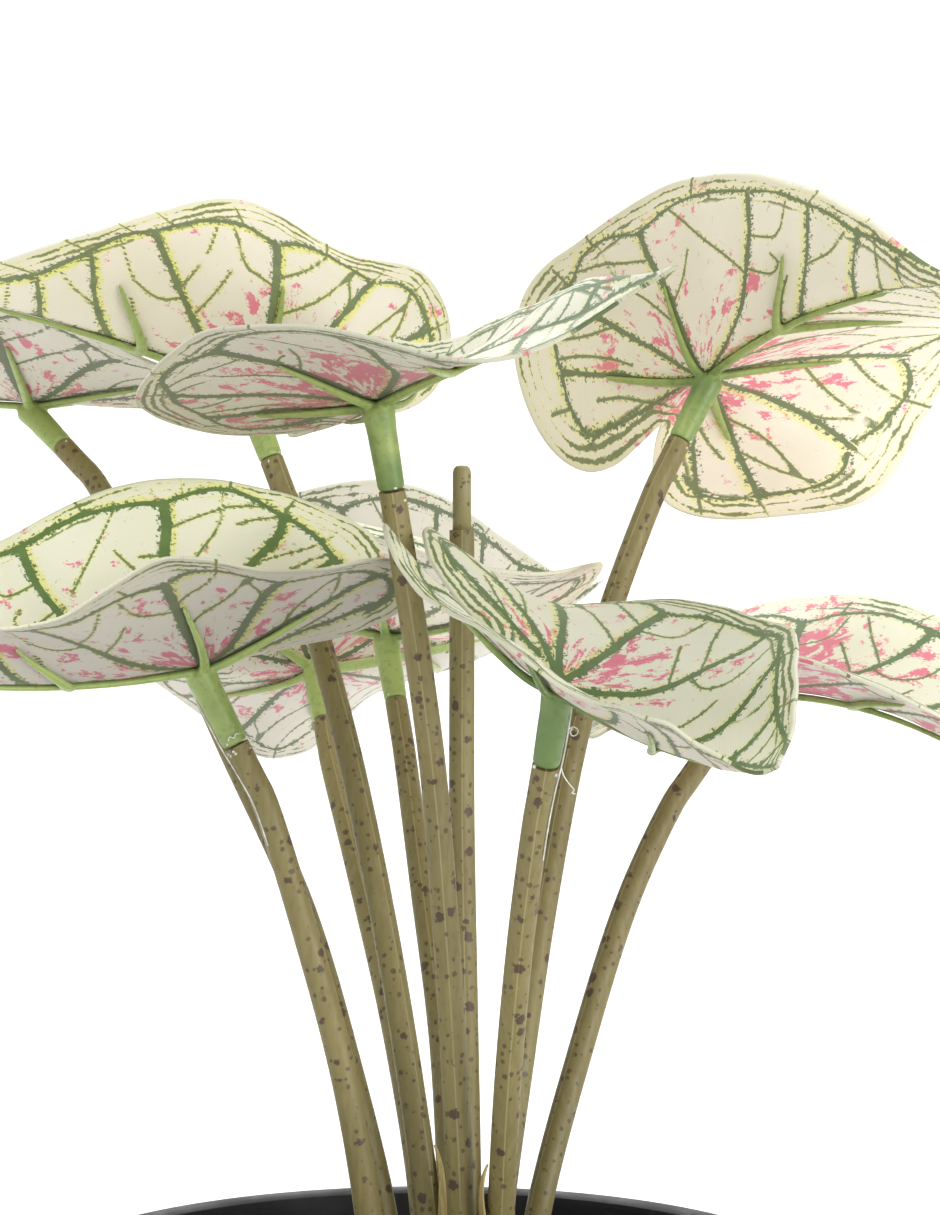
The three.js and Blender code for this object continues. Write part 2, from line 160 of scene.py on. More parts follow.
# Where each leaf hangs, how it is folded, leaned, ruffled, bent and twisted, and where its stem
# runs from the fill to just under the clip. print is how strong the leaf's pink flecks, yellow
# vein edges and margin bands are, bold how much wider than drawn its veins are, pale the factors
# on the colour of its underside and upper side, which are painted light and shade for how lit
# each side is, lime how far its clip's green goes toward the lighter green, which is painted
# light for how lit that clip is, and specks how many specks of glue are on its joint.
PLANTS = [
    {
        "name": "upper_left", "leaf_at": (-30, 24, 261), "turn": (-137, 15, 4), "size": 1.02,
        "left": (43, 43, 22), "right": (30, -5, 22), "bends": (-4, 13, -4),
        "ruffles": [(34, -5.5), (62, -10), (104, -13), (-58, -4.5), (-119, 1)],
        "print": (0.3, 1.0, 0.5), "bold": 0.0, "pale": (1.04, 0.8), "lime_and_painted_light": 0.75, "specks": 2,
        "way": [
            (2, -8, 105), (1, -6.5, 125), (-2.5, -2, 150), (-7, 3.5, 175), (-12.5, 9, 200),
            (-18.5, 14, 222), (-22.5, 18.5, 239.5),
        ],
    },
    {
        "name": "far_upper_left", "leaf_at": (-72.5, 60, 261), "turn": (-172, 3, -8), "size": 0.99,
        "left": (33, 0, 10), "right": (14, 0, 9), "bends": (-10, 0, 0),
        "ruffles": [(125, -7), (-125, -2)],
        "print": (0.4, 0.2, 0.2), "bold": 0.0, "pale": (0.84, 0.85), "lime_and_painted_light": 1.0, "specks": 1,
        "way": [
            (-4, -4, 105), (-6, -3.5, 125), (-12, -1, 150), (-20, 6, 175), (-32.5, 17, 200),
            (-44, 30, 222), (-59.5, 48, 246.5),
        ],
    },
    {
        "name": "upper_middle", "leaf_at": (-6.5, -32.5, 254.5), "turn": (-60, 11, 0), "size": 1.0,
        "left": (6, 20, -53), "right": (12, -3, 27), "bends": (31, 9, -9),
        "ruffles": [(52, 3.5), (116, 4.5), (-22, -16.5), (-60, -9.5), (-106, -3.5)],
        "print": (1.0, 0.35, 0.6), "bold": 0.15, "pale": (0.75, 0.82), "lime_and_painted_light": 0.35, "specks": 2,
        "way": [
            (6, -12, 105), (6, -12.5, 125), (5, -14.5, 150), (3.5, -17.5, 175), (1.5, -21.5, 200),
            (-3, -28, 232.5),
        ],
    },
    {
        "name": "lower_left", "leaf_at": (-34, -22, 215), "turn": (-150, -10, -14), "size": 0.95,
        "left": (53, 4, 31), "right": (40, -10, -15), "bends": (27, -2, -6),
        "ruffles": [(60, -11.5), (117, -9), (-51, -2), (-128, -2.5)],
        "print": (0.55, 0.8, 0.2), "bold": 0.1, "pale": (0.57, 1.03), "lime_and_painted_light": 0.45, "specks": 6,
        "way": [
            (-6.5, -13, 105), (-8, -13.5, 125), (-12, -15.5, 150), (-18.5, -17.5, 175),
            (-24.5, -19.5, 194.5),
        ],
    },
    {
        "name": "upper_right", "leaf_at": (48, 34, 264), "turn": (-64, 19, 9), "size": 1.06,
        "left": (-4, -15, 24), "right": (34, -7, 52), "bends": (-13, -41, 4),
        "ruffles": [(25, -6), (130, -10), (-53, -0.5), (-153, 11)],
        "print": (0.55, 0.6, 0.45), "bold": -0.1, "pale": (1.2, 0.8), "lime_and_painted_light": 0.4, "specks": 2,
        "way": [
            (11, -4, 105), (12, -2, 125), (15.5, 3, 150), (19.5, 9, 175), (24.5, 16, 200),
            (30.5, 22, 222), (39, 28, 244),
        ],
    },
    {
        "name": "lower_middle", "leaf_at": (20, -48, 212.5), "turn": (-26, -32, 50), "size": 0.81,
        "left": (-16, -12, -5), "right": (84, -23, -4), "bends": (24, 14, 20),
        "ruffles": [(29, 15.5), (121, -21), (-23, 15), (-118, -12)],
        "print": (0.3, 0.55, 1.0), "bold": 0.1, "pale": (0.84, 0.84), "lime_and_painted_light": 0.1, "specks": 4,
        "way": [
            (12, -13.5, 105), (12, -15.5, 125), (13, -21.5, 150), (15, -30.5, 175),
            (17, -37.5, 192),
        ],
    },
    {
        "name": "back_lower", "leaf_at": (-23, 94, 212), "turn": (17, 5, -61), "size": 0.98,
        "left": (40, 5, 9), "right": (48, 0, 35), "bends": (37, 52, -5),
        "ruffles": [(51, 7.5), (100, -8.5), (-55, 0), (-120, -1)],
        "print": (0.4, 0.2, 0.2), "bold": 0.0, "pale": (0.76, 0.85), "lime_and_painted_light": 0.9, "specks": 1,
        "way": [
            (0.5, 14.5, 105), (-1, 23, 125), (-6, 40.5, 150), (-13, 61.5, 175), (-19, 79, 195),
        ],
    },
    {
        "name": "back_middle", "leaf_at": (-7.5, 60, 219), "turn": (171, 11, 22), "size": 0.96,
        "left": (3, 0, -4), "right": (47, 0, 36), "bends": (3, 42, -1),
        "ruffles": [(55, 2.5), (127, -5.5), (-56, 1.5), (-122, 0.5)],
        "print": (0.6, 0.2, 0.2), "bold": 0.0, "pale": (1.15, 0.85), "lime_and_painted_light": 0.5, "specks": 1,
        "way": [
            (4, 8, 105), (4, 13.5, 125), (2.5, 24.5, 150), (-1, 36.5, 175), (-4.5, 49.5, 199),
        ],
    },
    {
        "name": "lower_right", "leaf_at": (54.5, 32, 209.5), "turn": (-36, 3, -7), "size": 0.93,
        "left": (27, 11, -13), "right": (22, -28, 40), "bends": (-47, -31, -4),
        "ruffles": [(54, 1), (120, 0.5), (-55, -0.5), (-137, -8)],
        "print": (1.6, 0.2, 0.2), "bold": 0.0, "pale": (0.95, 1.0), "lime_and_painted_light": 0.3, "specks": 1,
        "way": [
            (15.5, 6, 105), (18.5, 9, 125), (25.5, 15, 150), (34, 21.5, 175), (42, 26.5, 191),
        ],
    },
]

# The bare stem's way, ending at the shoulder where its peg starts, and half the peg's profile
# (distance from its middle, height above the shoulder).
BARE_STEM = [
    (7, 1, 105), (7, 1, 130), (6.5, 1, 160), (6, 0, 190), (6, 0, 215), (6, 0, 236),
]
PEG_PROFILE = [(0, -1.2), (1.5, -1.2), (1.5, 9.2), (1.3, 9.9), (0.9, 10.3), (0, 10.4)]

# The printed veins: half widths at root and end, then points (u, distance from the midrib). The
# midrib is on both half leaves, and each half has main veins of its own.
MIDRIB = (0.6, 0.25, [(0, 0), (20, 0), (44, 0), (63, 0)])
MAIN_VEINS = {
    "left": [
        (0.5, 0.9, [(2, 0.5), (8, 3.5), (14.4, 8.5), (18.7, 14.5), (21.9, 21.5), (23.8, 27.5)]),
        (0.7, 1.1, [(0, 0), (1.3, 6), (1.8, 12.5), (2.2, 20), (2.3, 28.6)]),
        (0.6, 0.9, [(0, 0), (-4.4, 6), (-8.5, 14), (-12.5, 21), (-15.5, 26), (-17.3, 28.3)]),
        (0.5, 0.7, [(0, 0), (-8.3, 6), (-17.7, 11.7), (-25.4, 15.9), (-30.5, 18.6)]),
        (0.4, 0.5, [(-6, 2.5), (-18.2, 6.3), (-25, 8.7), (-30.5, 10.6)]),
        (0.6, 0.6, [(25.5, 0), (29.7, 4), (32.5, 9.6), (34.3, 18.8)]),
        (0.5, 0.5, [(38, 0), (40, 4), (41.5, 8), (42.3, 10.3)]),
        (0.4, 0.3, [(49, 0), (50, 3), (51.5, 6)]),
    ],
    "right": [
        (0.5, 0.9, [(2, 0.5), (9, 3.2), (16.1, 7.9), (19.8, 13.6), (23, 20.2), (24.6, 27.7)]),
        (0.7, 1.1, [(0, 0), (1, 6), (1.3, 12), (0.9, 20), (-0.6, 27), (-1, 32)]),
        (0.6, 0.9, [(0, 0), (-4.8, 8.6), (-9.6, 14.6), (-14.5, 19.5), (-18.5, 23.5), (-20.5, 28)]),
        (0.5, 0.7, [(0, 0), (-9.6, 6.3), (-14, 9.3), (-20.6, 13.2), (-27, 16.8)]),
        (0.4, 0.5, [(-5, 1.6), (-17.9, 4.6), (-23, 6.5), (-27.5, 8.2)]),
        (0.6, 0.6, [(25.7, 0), (31.3, 6.8), (34.2, 11.9), (36.2, 19.3)]),
        (0.5, 0.5, [(38.5, 0), (42, 6), (45.1, 11.1)]),
        (0.4, 0.3, [(49, 0), (49.7, 2.7), (51.6, 6.1)]),
    ],
}

# The scalloped vein that collects the main ones inside the margin.
RIM_VEINS = {
    "left": (0.55, 0.45, [
        (58, 2.6), (53.3, 5), (48, 7.2), (42.3, 10.6), (38.8, 14.7), (34.5, 19.4), (30.4, 24.4),
        (27, 26.6), (23.8, 27.6), (20.4, 29.2), (15.2, 30.7), (8.2, 30.6), (2.4, 28.9),
        (-1.5, 31.7), (-4.6, 33.2), (-7.7, 33.6), (-13, 31.7), (-17.4, 28.4), (-22, 28),
        (-26.3, 25.2), (-29, 21.5), (-30.6, 18.4), (-31.8, 14.5), (-30.4, 10.5), (-26.5, 7.6),
    ]),
    "right": (0.55, 0.45, [
        (58, 2.8), (53.3, 6), (48.5, 8.9), (44.2, 11.7), (40.7, 15.5), (36.2, 19.5),
        (30.6, 24.7), (24.8, 27.9), (18.5, 31), (12.5, 32.8), (6, 33.2), (0.7, 32.6),
        (-1, 32.2), (-4.6, 33.6), (-8.4, 34.9), (-12.5, 34.9), (-16, 33.4), (-20.4, 28.6),
        (-23.4, 25.9), (-25.8, 21.5), (-27, 16.8), (-28.2, 12.4), (-27.5, 8.4), (-24, 6.7),
    ]),
}

# Thin veins between the main ones, and the half widths of these and of the spurs that run on
# from the scalloped vein toward the margin.
THIN_ROOT = 0.2
THIN_END = 0.12
SPUR_END = 0.1
SPUR_REACH = 1.13
THIN_VEINS = {
    "left": [
        [(18.6, 15.1), (14.8, 23.5), (12.7, 30.4)],
        [(15, 10.5), (12.4, 16), (10.4, 20.5)],
        [(2.2, 19.4), (7.8, 22), (10, 30.4)],
        [(1.8, 13.7), (-4.2, 19.2), (-9, 24.6), (-12.8, 31.4)],
        [(2.2, 21.1), (-3.6, 26.7), (-7.7, 33)],
        [(-10.6, 18), (-12.6, 23), (-12.2, 28), (-13.5, 31)],
        [(-21, 13.4), (-24, 19), (-25.5, 25)],
        [(-13, 8.8), (-17, 15.5), (-23.2, 21.5), (-26.4, 24.6)],
        [(18, 13), (21.6, 11.5), (26.5, 14.5), (29.5, 24.6)],
        [(7, 3), (12.5, 6), (15.6, 9)],
        [(31, 6.3), (36, 9.5), (39.4, 13.8)],
        [(21, 0), (24.6, 6), (26.2, 10)],
        [(44, 0), (45.6, 4.5), (46, 7.8)],
        [(-14, 5), (-19, 8.6), (-23, 12)],
    ],
    "right": [
        [(19.4, 13), (15.3, 20), (10.7, 27.1), (6.8, 33)],
        [(23, 19.5), (28.5, 16.8), (32.2, 22.6)],
        [(20.3, 13.6), (25.2, 10.2), (27, 11.6), (26, 14)],
        [(-20, 31), (-12.6, 31), (-6.3, 28.8), (-1.2, 26.7)],
        [(-22.5, 28.6), (-15.5, 28), (-12.3, 27)],
        [(-25.9, 21.2), (-20.5, 19.6), (-13.6, 18.5)],
        [(-26.8, 18.6), (-21.1, 16.6), (-16, 13.4), (-12.6, 10.8)],
        [(-0.4, 14), (-4.5, 20.5), (-9, 26.3), (-11.6, 34.8)],
        [(4.5, 22.1), (2.5, 21.7), (0.8, 21.4)],
        [(1, 16), (5.4, 19.4), (8.6, 24)],
        [(33, 9), (38.5, 9.5), (43, 12.4)],
        [(44, 0), (46, 4), (47.8, 9)],
        [(21, 0), (25, 5.4), (27.8, 8.4)],
        [(-12, 3), (-18, 7.8), (-22.6, 10.2)],
    ],
}

# Stems with a dry sheath at the foot: the way it faces, and how far it stands off near its tip.
SHEATHS = [("upper_left", (1, -0.3, 0), 0.7), ("lower_middle", (-1, -0.2, 0), 1.0)]

# Threads of glue: how thick each is, and its points by the joint (right of it, in front, up).
GLUE_THREADS = {
    "lower_middle": [
        (1.0, [(2.2, 0.7, 11), (2.3, 0.7, 7), (2.3, 0.7, 3), (2.2, 0.8, 0.3), (1.9, 1, -4),
               (1.8, 1.2, -9), (1.7, 1.3, -15)]),
        (0.7, [(2.3, 0.7, 6.6), (2.9, 0.8, 7.2), (3.6, 0.9, 6.9), (3.6, 0.9, 6.1), (3, 0.9, 5.8),
               (2.6, 0.8, 6.3), (2.8, 0.8, 6.9)]),
        (0.8, [(2.2, 0.8, 0.4), (2.8, 0.9, -0.9), (3.8, 1, -2.1), (4.6, 1.1, -2.9),
               (4.4, 1.1, -3.4), (4.9, 1.1, -3.5)]),
    ],
    "lower_left": [
        (1.0, [(-2.3, 0.3, 11), (-2.3, 0.5, 6), (-2.2, 0.7, 0.5), (-1.8, 1, -4),
               (-1.6, 1.3, -9), (-1.5, 1.4, -16)]),
        (0.7, [(-0.5, 2.2, 1.3), (0, 2.3, 1.8), (0.5, 2.3, 1.4), (1, 2.2, 1.8), (1.6, 2, 1.5)]),
        (0.7, [(1.8, 1.2, 0.5), (2.6, 1, 0.2), (3.1, 1, -0.6)]),
    ],
}

# The print: how far the yellow lies off the green, how soft the ink's edges are, how far the teeth
# of main and thin veins reach, and how far apart the lines along the margin are.
HALO_SHIFT = np.array([0.5, 0.4])
INK_SOFTNESS = 0.14
MAIN_TEETH = 0.95
FINE_TEETH = 0.55
BAND_SPACING = 0.85

# The cloth's threads: spacing of warp and weft, and of the slanting lines that they make.
WARP_PITCH = 0.36
WEFT_PITCH = 0.34
TWILL_PITCH = 0.62

# Second colours of the finishes; the first ones are settings.
CREAM_CLOUD = (0.66, 0.68, 0.48, 1)
CREAM_EDGE = (0.60, 0.62, 0.38, 1)
VEIN_BRIGHT = (0.16, 0.27, 0.05, 1)
CLIP_DARK = (0.10, 0.15, 0.05, 1)
STEM_CLOUD = (0.235, 0.195, 0.068, 1)
STEM_STREAK = (0.32, 0.28, 0.12, 1)
STEM_GRAIN = (0.12, 0.095, 0.035, 1)
STEM_SEAM = (0.42, 0.38, 0.20, 1)
SHEATH_FIBRE = (0.38, 0.29, 0.10, 1)
SHEATH_STRAW = (0.58, 0.48, 0.20, 1)
SHEATH_CLOUD = (0.30, 0.20, 0.07, 1)
GLUE_CLEAR = (0.45, 0.45, 0.36, 1)
GLUE_MILKY = (0.80, 0.80, 0.74, 1)
POT_DUST = (0.045, 0.045, 0.047, 1)
FILL_DARK = (0.022, 0.014, 0.009, 1)
FILL_BROWN = (0.075, 0.048, 0.028, 1)
FILL_FIBRE = (0.15, 0.10, 0.06, 1)

# The rendered image's height and the lens's length, both in the image's pixels.
IMAGE_HEIGHT = 1215
LENS_LENGTH = 2870

# The studio's lights, in metres: where each stands, what it is aimed at, its size and its power.
PLANT_MIDDLE = (0, 0, 0.22)
LIGHTS = {
    "key": ((-0.7, -0.9, 1.1), PLANT_MIDDLE, 0.9, 6),
    "fill_light": ((0.9, -0.8, 0.2), PLANT_MIDDLE, 0.9, 10),
    "back_light": ((0.1, 0.9, 1.0), PLANT_MIDDLE, 1.2, 6),
    "wall_light": ((0, 0.5, 1.3), (0, 1.3, 0.3), 1.4, 12),
}
SKY_STRENGTH = 0.65

# The backdrop, in metres: its floor from front to back, the bend behind it and the wall's top.
FLOOR_FRONT = -1.6
FLOOR_END = 0.8
FLOOR_HALF_WIDTH = 2.5
WALL_BEND = 0.7
WALL_TOP = 3.0


# ---------------------------------------------------------------- shapes


def unit(vectors):
    """The vectors, each made one long."""
    return vectors / np.linalg.norm(vectors, axis=-1, keepdims=True)


def spline_points(points, per_span):
    """Centripetal Catmull-Rom curve through the points, per_span points for each span."""
    p = np.array(points, float)
    p = np.vstack([2 * p[0] - p[1], p, 2 * p[-1] - p[-2]])
    out = []
    for i in range(1, len(p) - 2):
        d0, d1, d2 = (math.sqrt(np.linalg.norm(p[k + 1] - p[k])) for k in (i - 1, i, i + 1))
        m1 = (p[i] - p[i - 1]) / d0 - (p[i + 1] - p[i - 1]) / (d0 + d1) + (p[i + 1] - p[i]) / d1
        m2 = (p[i + 1] - p[i]) / d1 - (p[i + 2] - p[i]) / (d1 + d2) + (p[i + 2] - p[i + 1]) / d2
        t = np.linspace(0, 1, per_span, endpoint=False)[:, None]
        out.append(
            p[i] * (2 * t**3 - 3 * t**2 + 1)
            + m1 * d1 * (t**3 - 2 * t**2 + t)
            + p[i + 1] * (3 * t**2 - 2 * t**3)
            + m2 * d1 * (t**3 - t**2)
        )
    out.append(p[-2][None])
    return np.vstack(out)


def along(points, count):
    """The points of a polyline set out evenly, count of them."""
    steps = np.linalg.norm(np.diff(points, axis=0), axis=1)
    far = np.concatenate([[0], np.cumsum(steps)])
    at = np.linspace(0, far[-1], count)
    return np.stack([np.interp(at, far, points[:, k]) for k in range(points.shape[1])], -1)


def blade(plant, u, v):
    """The flat leaf's points on the folded, leaning, ruffled, bent and twisted leaf."""
    u, v = np.asarray(u, float), np.asarray(v, float)
    left = v >= 0
    fold, curl, lean = (np.radians(np.where(left, a, b)) for a, b in zip(plant["left"], plant["right"]))
    reach = np.abs(v)
    rise = fold * reach / (reach + FOLD_SOFTNESS) + curl * reach / (2 * HALF_WIDTH)
    ahead = u + reach * np.sin(lean) * reach / (reach + LEAN_SOFTNESS)
    across = np.sign(v) * reach * np.cos(rise) * np.cos(lean)
    up = reach * np.sin(rise)
    share = np.hypot(u, v) / HALF_WIDTH
    bearing = np.degrees(np.arctan2(v, u))
    for direction, height in plant["ruffles"]:
        off = (bearing - direction + 180) % 360 - 180
        up = up + height * share**2 * np.exp(-((off / RUFFLE_SPREAD) ** 2))
    tip_bend, lobe_bend, twist = (math.radians(a) for a in plant["bends"])
    turn = twist * ahead / TIP_LENGTH
    y = across * np.cos(turn) - up * np.sin(turn)
    lift = across * np.sin(turn) + up * np.cos(turn)
    bend = np.where(ahead >= 0, tip_bend * ahead / TIP_LENGTH, -lobe_bend * ahead / LOBE_LENGTH) / 2
    x = ahead * np.cos(bend) - np.where(ahead >= 0, 1, -1) * lift * np.sin(2 * bend)
    z = np.abs(ahead) * np.sin(bend) + lift * np.cos(2 * bend)
    return np.stack([x, y, z], -1) * LEAF_SCALE * plant["size"]


def blade_normal(plant, u, v):
    """The way that the bent leaf's upper side faces at its flat points."""
    step = 0.4
    along_u = blade(plant, u + step, v) - blade(plant, u - step, v)
    along_v = blade(plant, u, v + step) - blade(plant, u, v - step)
    return unit(np.cross(along_u, along_v))


def off_blade(plant, u, v, height):
    """Points that stand off the bent leaf's middle by a height."""
    u, v = np.asarray(u, float), np.asarray(v, float)
    return blade(plant, u, v) + blade_normal(plant, u, v) * np.asarray(height, float)[..., None]


def leaf_turn(plant):
    """The turn from a leaf's own frame to the plant's."""
    yaw, pitch, roll = (math.radians(a) for a in plant["turn"])
    return np.array(
        Matrix.Rotation(yaw, 3, "Z") @ Matrix.Rotation(-pitch, 3, "Y") @ Matrix.Rotation(roll, 3, "X")
    )


def placed(plant, points):
    """Points of a leaf's own frame, in the plant's."""
    return points @ leaf_turn(plant).T + np.array(plant["leaf_at"], float)


def hub_of(plant):
    """Where the stem's line meets the clip's arms, a little below the leaf's middle."""
    return placed(plant, np.array([[0, 0, -HUB_DROP]]))[0]


def stem_line(plant):
    """Points of a stem's middle from down in the fill to its shoulder, and its last direction."""
    way = np.array(plant["way"], float)
    hub = hub_of(plant)
    direction = unit(hub - way[-1])
    shoulder = hub - direction * (SOCKET_LENGTH + SEAT_GAP)
    return with_ends(way, shoulder, direction), direction


def bare_line():
    """The same for the bare stem."""
    way = np.array(BARE_STEM, float)
    direction = unit(way[-1] - way[-2])
    return with_ends(way[:-1], way[-1], direction), direction


def with_ends(way, shoulder, direction):
    """A stem's way with its buried foot and its straight end."""
    buried = way[0] - [0, 0, STEM_BURIED]
    return np.vstack([buried, way, shoulder - direction * STEM_STRAIGHT_END, shoulder])


def swept_line(way):
    """The smooth line that a stem is swept along, from a little below the fill's top."""
    points = spline_points(way, 12)
    return points[points[:, 2] > FILL_TOP - STEM_SWEPT_BELOW]


def turned_up(points, direction):
    """Points of a shape made along Z, turned so that it runs along the direction."""
    turn = np.array(Vector((0, 0, 1)).rotation_difference(Vector(direction)).to_matrix())
    return points @ turn.T


def side_frames(points):
    """Two unit vectors across a line at each of its points, turned as little as possible."""
    ahead = unit(np.gradient(points, axis=0))
    across = np.cross(ahead[0], [0.3, 1, 0.2])
    first = []
    for direction in ahead:
        across = across - direction * np.dot(across, direction)
        across = across / np.linalg.norm(across)
        first.append(across)
    first = np.array(first)
    return first, np.cross(ahead, first)


def tube(points, radius, sides):
    """Vertices and faces of a closed round tube along the points."""
    points = np.asarray(points, float)
    one, two = side_frames(points)
    angle = np.linspace(0, 2 * math.pi, sides, endpoint=False)
    ring = np.cos(angle)[None, :, None] * one[:, None] + np.sin(angle)[None, :, None] * two[:, None]
    verts = (points[:, None] + ring * radius).reshape(-1, 3)
    return verts, strip_faces(len(points), sides)


def strip_faces(rows, sides):
    """Quads between rows of a tube's points, and its two end faces."""
    faces = []
    for i in range(rows - 1):
        for k in range(sides):
            a, b = i * sides + k, i * sides + (k + 1) % sides
            faces.append((a, b, b + sides, a + sides))
    faces.append(tuple(range(sides))[::-1])
    faces.append(tuple((rows - 1) * sides + k for k in range(sides)))
    return faces


def lathe(profile, sides):
    """Vertices and faces of a solid turned about Z; its profile starts and ends on the axis."""
    verts = [(0, 0, profile[0][1])]
    angle = np.linspace(0, 2 * math.pi, sides, endpoint=False)
    for radius, z in profile[1:-1]:
        verts += [(radius * c, radius * s, z) for c, s in zip(np.cos(angle), np.sin(angle))]
    verts.append((0, 0, profile[-1][1]))
    faces = []
    rows = len(profile) - 2
    for k in range(sides):
        n = (k + 1) % sides
        faces.append((0, 1 + n, 1 + k))
        for i in range(rows - 1):
            a, b = 1 + i * sides + k, 1 + i * sides + n
            faces.append((a, b, b + sides, a + sides))
        last = 1 + (rows - 1) * sides
        faces.append((last + k, last + n, len(verts) - 1))
    return np.array(verts, float), faces


def join_shapes(shapes):
    """Several shapes' vertices and faces as one shape's."""
    verts, faces, count = [], [], 0
    for points, quads in shapes:
        verts.append(np.asarray(points, float))
        faces += [tuple(count + i for i in face) for face in quads]
        count += len(points)
    return np.vstack(verts), faces


def new_object(name, verts, faces=(), edges=()):
    """A smooth mesh object from points in millimetres."""
    mesh = bpy.data.meshes.new(name)
    mesh.from_pydata((np.asarray(verts, float) * MM).tolist(), edges, faces)
    mesh.update()
    mesh.polygons.foreach_set("use_smooth", [True] * len(mesh.polygons))
    piece = bpy.data.objects.new(name, mesh)
    bpy.context.scene.collection.objects.link(piece)
    return piece


def tidy_normals(piece):
    """Turns a closed piece's faces outward and shades it smooth."""
    work = bmesh.new()
    work.from_mesh(piece.data)
    bmesh.ops.recalc_face_normals(work, faces=work.faces)
    work.to_mesh(piece.data)
    work.free()
    piece.data.polygons.foreach_set("use_smooth", [True] * len(piece.data.polygons))


def point_values(piece, name, values):
    """Stores one number or one vector for each point of a piece."""
    values = np.asarray(values, np.float32)
    kind = "FLOAT" if values.ndim == 1 else "FLOAT_VECTOR"
    layer = piece.data.attributes.new(name, kind, "POINT")
    layer.data.foreach_set("value" if values.ndim == 1 else "vector", values.ravel())


def settle_modifiers(piece):
    """Makes what the modifiers give the piece's own mesh, and takes them off."""
    bpy.context.view_layer.update()
    graph = bpy.context.evaluated_depsgraph_get()
    mesh = bpy.data.meshes.new_from_object(piece.evaluated_get(graph))
    piece.modifiers.clear()
    piece.data = mesh
    return piece


def finish_piece(piece, material, slot, *nodes):
    """Gives a piece its material, its body and the solids it stands for; slot is not used."""
    if material is not None:
        piece.data.materials.clear()
        piece.data.materials.append(material)
    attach(piece, "root")
    if nodes:
        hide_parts(*nodes)
    return piece


# ---------------------------------------------------------------- nodes


class Nodes:
    """A node tree, with a short way to add a node and to set or link its sockets."""

    def __init__(self, tree):
        self.tree = tree

    def node(self, kind, inputs=(), **settings):
        node = self.tree.nodes.new(kind)
        for key, value in settings.items():
            setattr(node, key, value)
        for key, value in dict(inputs).items():
            if isinstance(value, bpy.types.NodeSocket):
                self.tree.links.new(value, node.inputs[key])
            else:
                node.inputs[key].default_value = value
        return node


class Surface(Nodes):
    """A material's nodes, with short ways to add those that these finishes use."""

    def __init__(self, name, **sockets):
        self.material = bpy.data.materials.new(name)
        self.material.use_nodes = True
        super().__init__(self.material.node_tree)
        self.shader = self.tree.nodes["Principled BSDF"]
        for socket, value in sockets.items():
            self.shader.inputs[socket.replace("_", " ")].default_value = value

    def math(self, operation, a, b=0.0, c=0.0):
        inputs = {0: a, 1: b, 2: c}
        return self.node("ShaderNodeMath", inputs, operation=operation).outputs[0]

    def plus(self, a, b):
        return self.math("ADD", a, b)

    def minus(self, a, b):
        return self.math("SUBTRACT", a, b)

    def times(self, a, b):
        return self.math("MULTIPLY", a, b)

    def times_plus(self, a, factor, b):
        """a times factor, plus b."""
        return self.math("MULTIPLY_ADD", a, factor, b)

    def most(self, a, b):
        return self.math("MAXIMUM", a, b)

    def magnitude(self, value):
        return self.math("ABSOLUTE", value)

    def wave(self, value, pitch):
        return self.math("SINE", self.times(value, 2 * math.pi / pitch))

    def ramp(self, value, low, high, start=0.0, end=1.0):
        """Goes smoothly from start to end as value goes from low to high."""
        inputs = {"Value": value, "From Min": low, "From Max": high, "To Min": start, "To Max": end}
        node = self.node("ShaderNodeMapRange", inputs, interpolation_type="SMOOTHSTEP")
        return node.outputs["Result"]

    def fall(self, value, low, high):
        """Goes smoothly from one to nothing as value goes from low to high."""
        return self.ramp(value, low, high, 1, 0)

    def mix(self, share, a, b):
        """Colour a, turned to colour b by share."""
        return self.node("ShaderNodeMix", {0: share, 6: a, 7: b}, data_type="RGBA").outputs[2]

    def noise(self, vector, scale, detail=2.0, roughness=0.5, distortion=0.0):
        inputs = {
            "Vector": vector, "Scale": scale, "Detail": detail, "Roughness": roughness,
            "Distortion": distortion,
        }
        return self.node("ShaderNodeTexNoise", inputs).outputs["Fac"]

    def stain(self, tone, pattern, low, high, share, other):
        """Turns a colour to another, by share at most, as the pattern goes from low to high."""
        return self.mix(self.times(self.ramp(pattern, low, high), share), tone, other)

    def vector(self, name):
        return self.node("ShaderNodeAttribute", attribute_name=name).outputs["Vector"]

    def value(self, name):
        return self.node("ShaderNodeAttribute", attribute_name=name).outputs["Fac"]

    def split(self, vector):
        return self.node("ShaderNodeSeparateXYZ", {"Vector": vector}).outputs

    def scaled(self, vector, x, y, z):
        node = self.node("ShaderNodeVectorMath", {0: vector, 1: (x, y, z)}, operation="MULTIPLY")
        return node.outputs[0]

    def bump(self, height, distance, strength):
        """Feeds the shader's normal with a relief, its distance in millimetres."""
        inputs = {"Height": height, "Distance": distance * MM, "Strength": strength}
        self.feed("Normal", self.node("ShaderNodeBump", inputs).outputs["Normal"])

    def feed(self, socket, value):
        self.tree.links.new(value, self.shader.inputs[socket])

    def object_place(self):
        return self.node("ShaderNodeTexCoord").outputs["Object"]


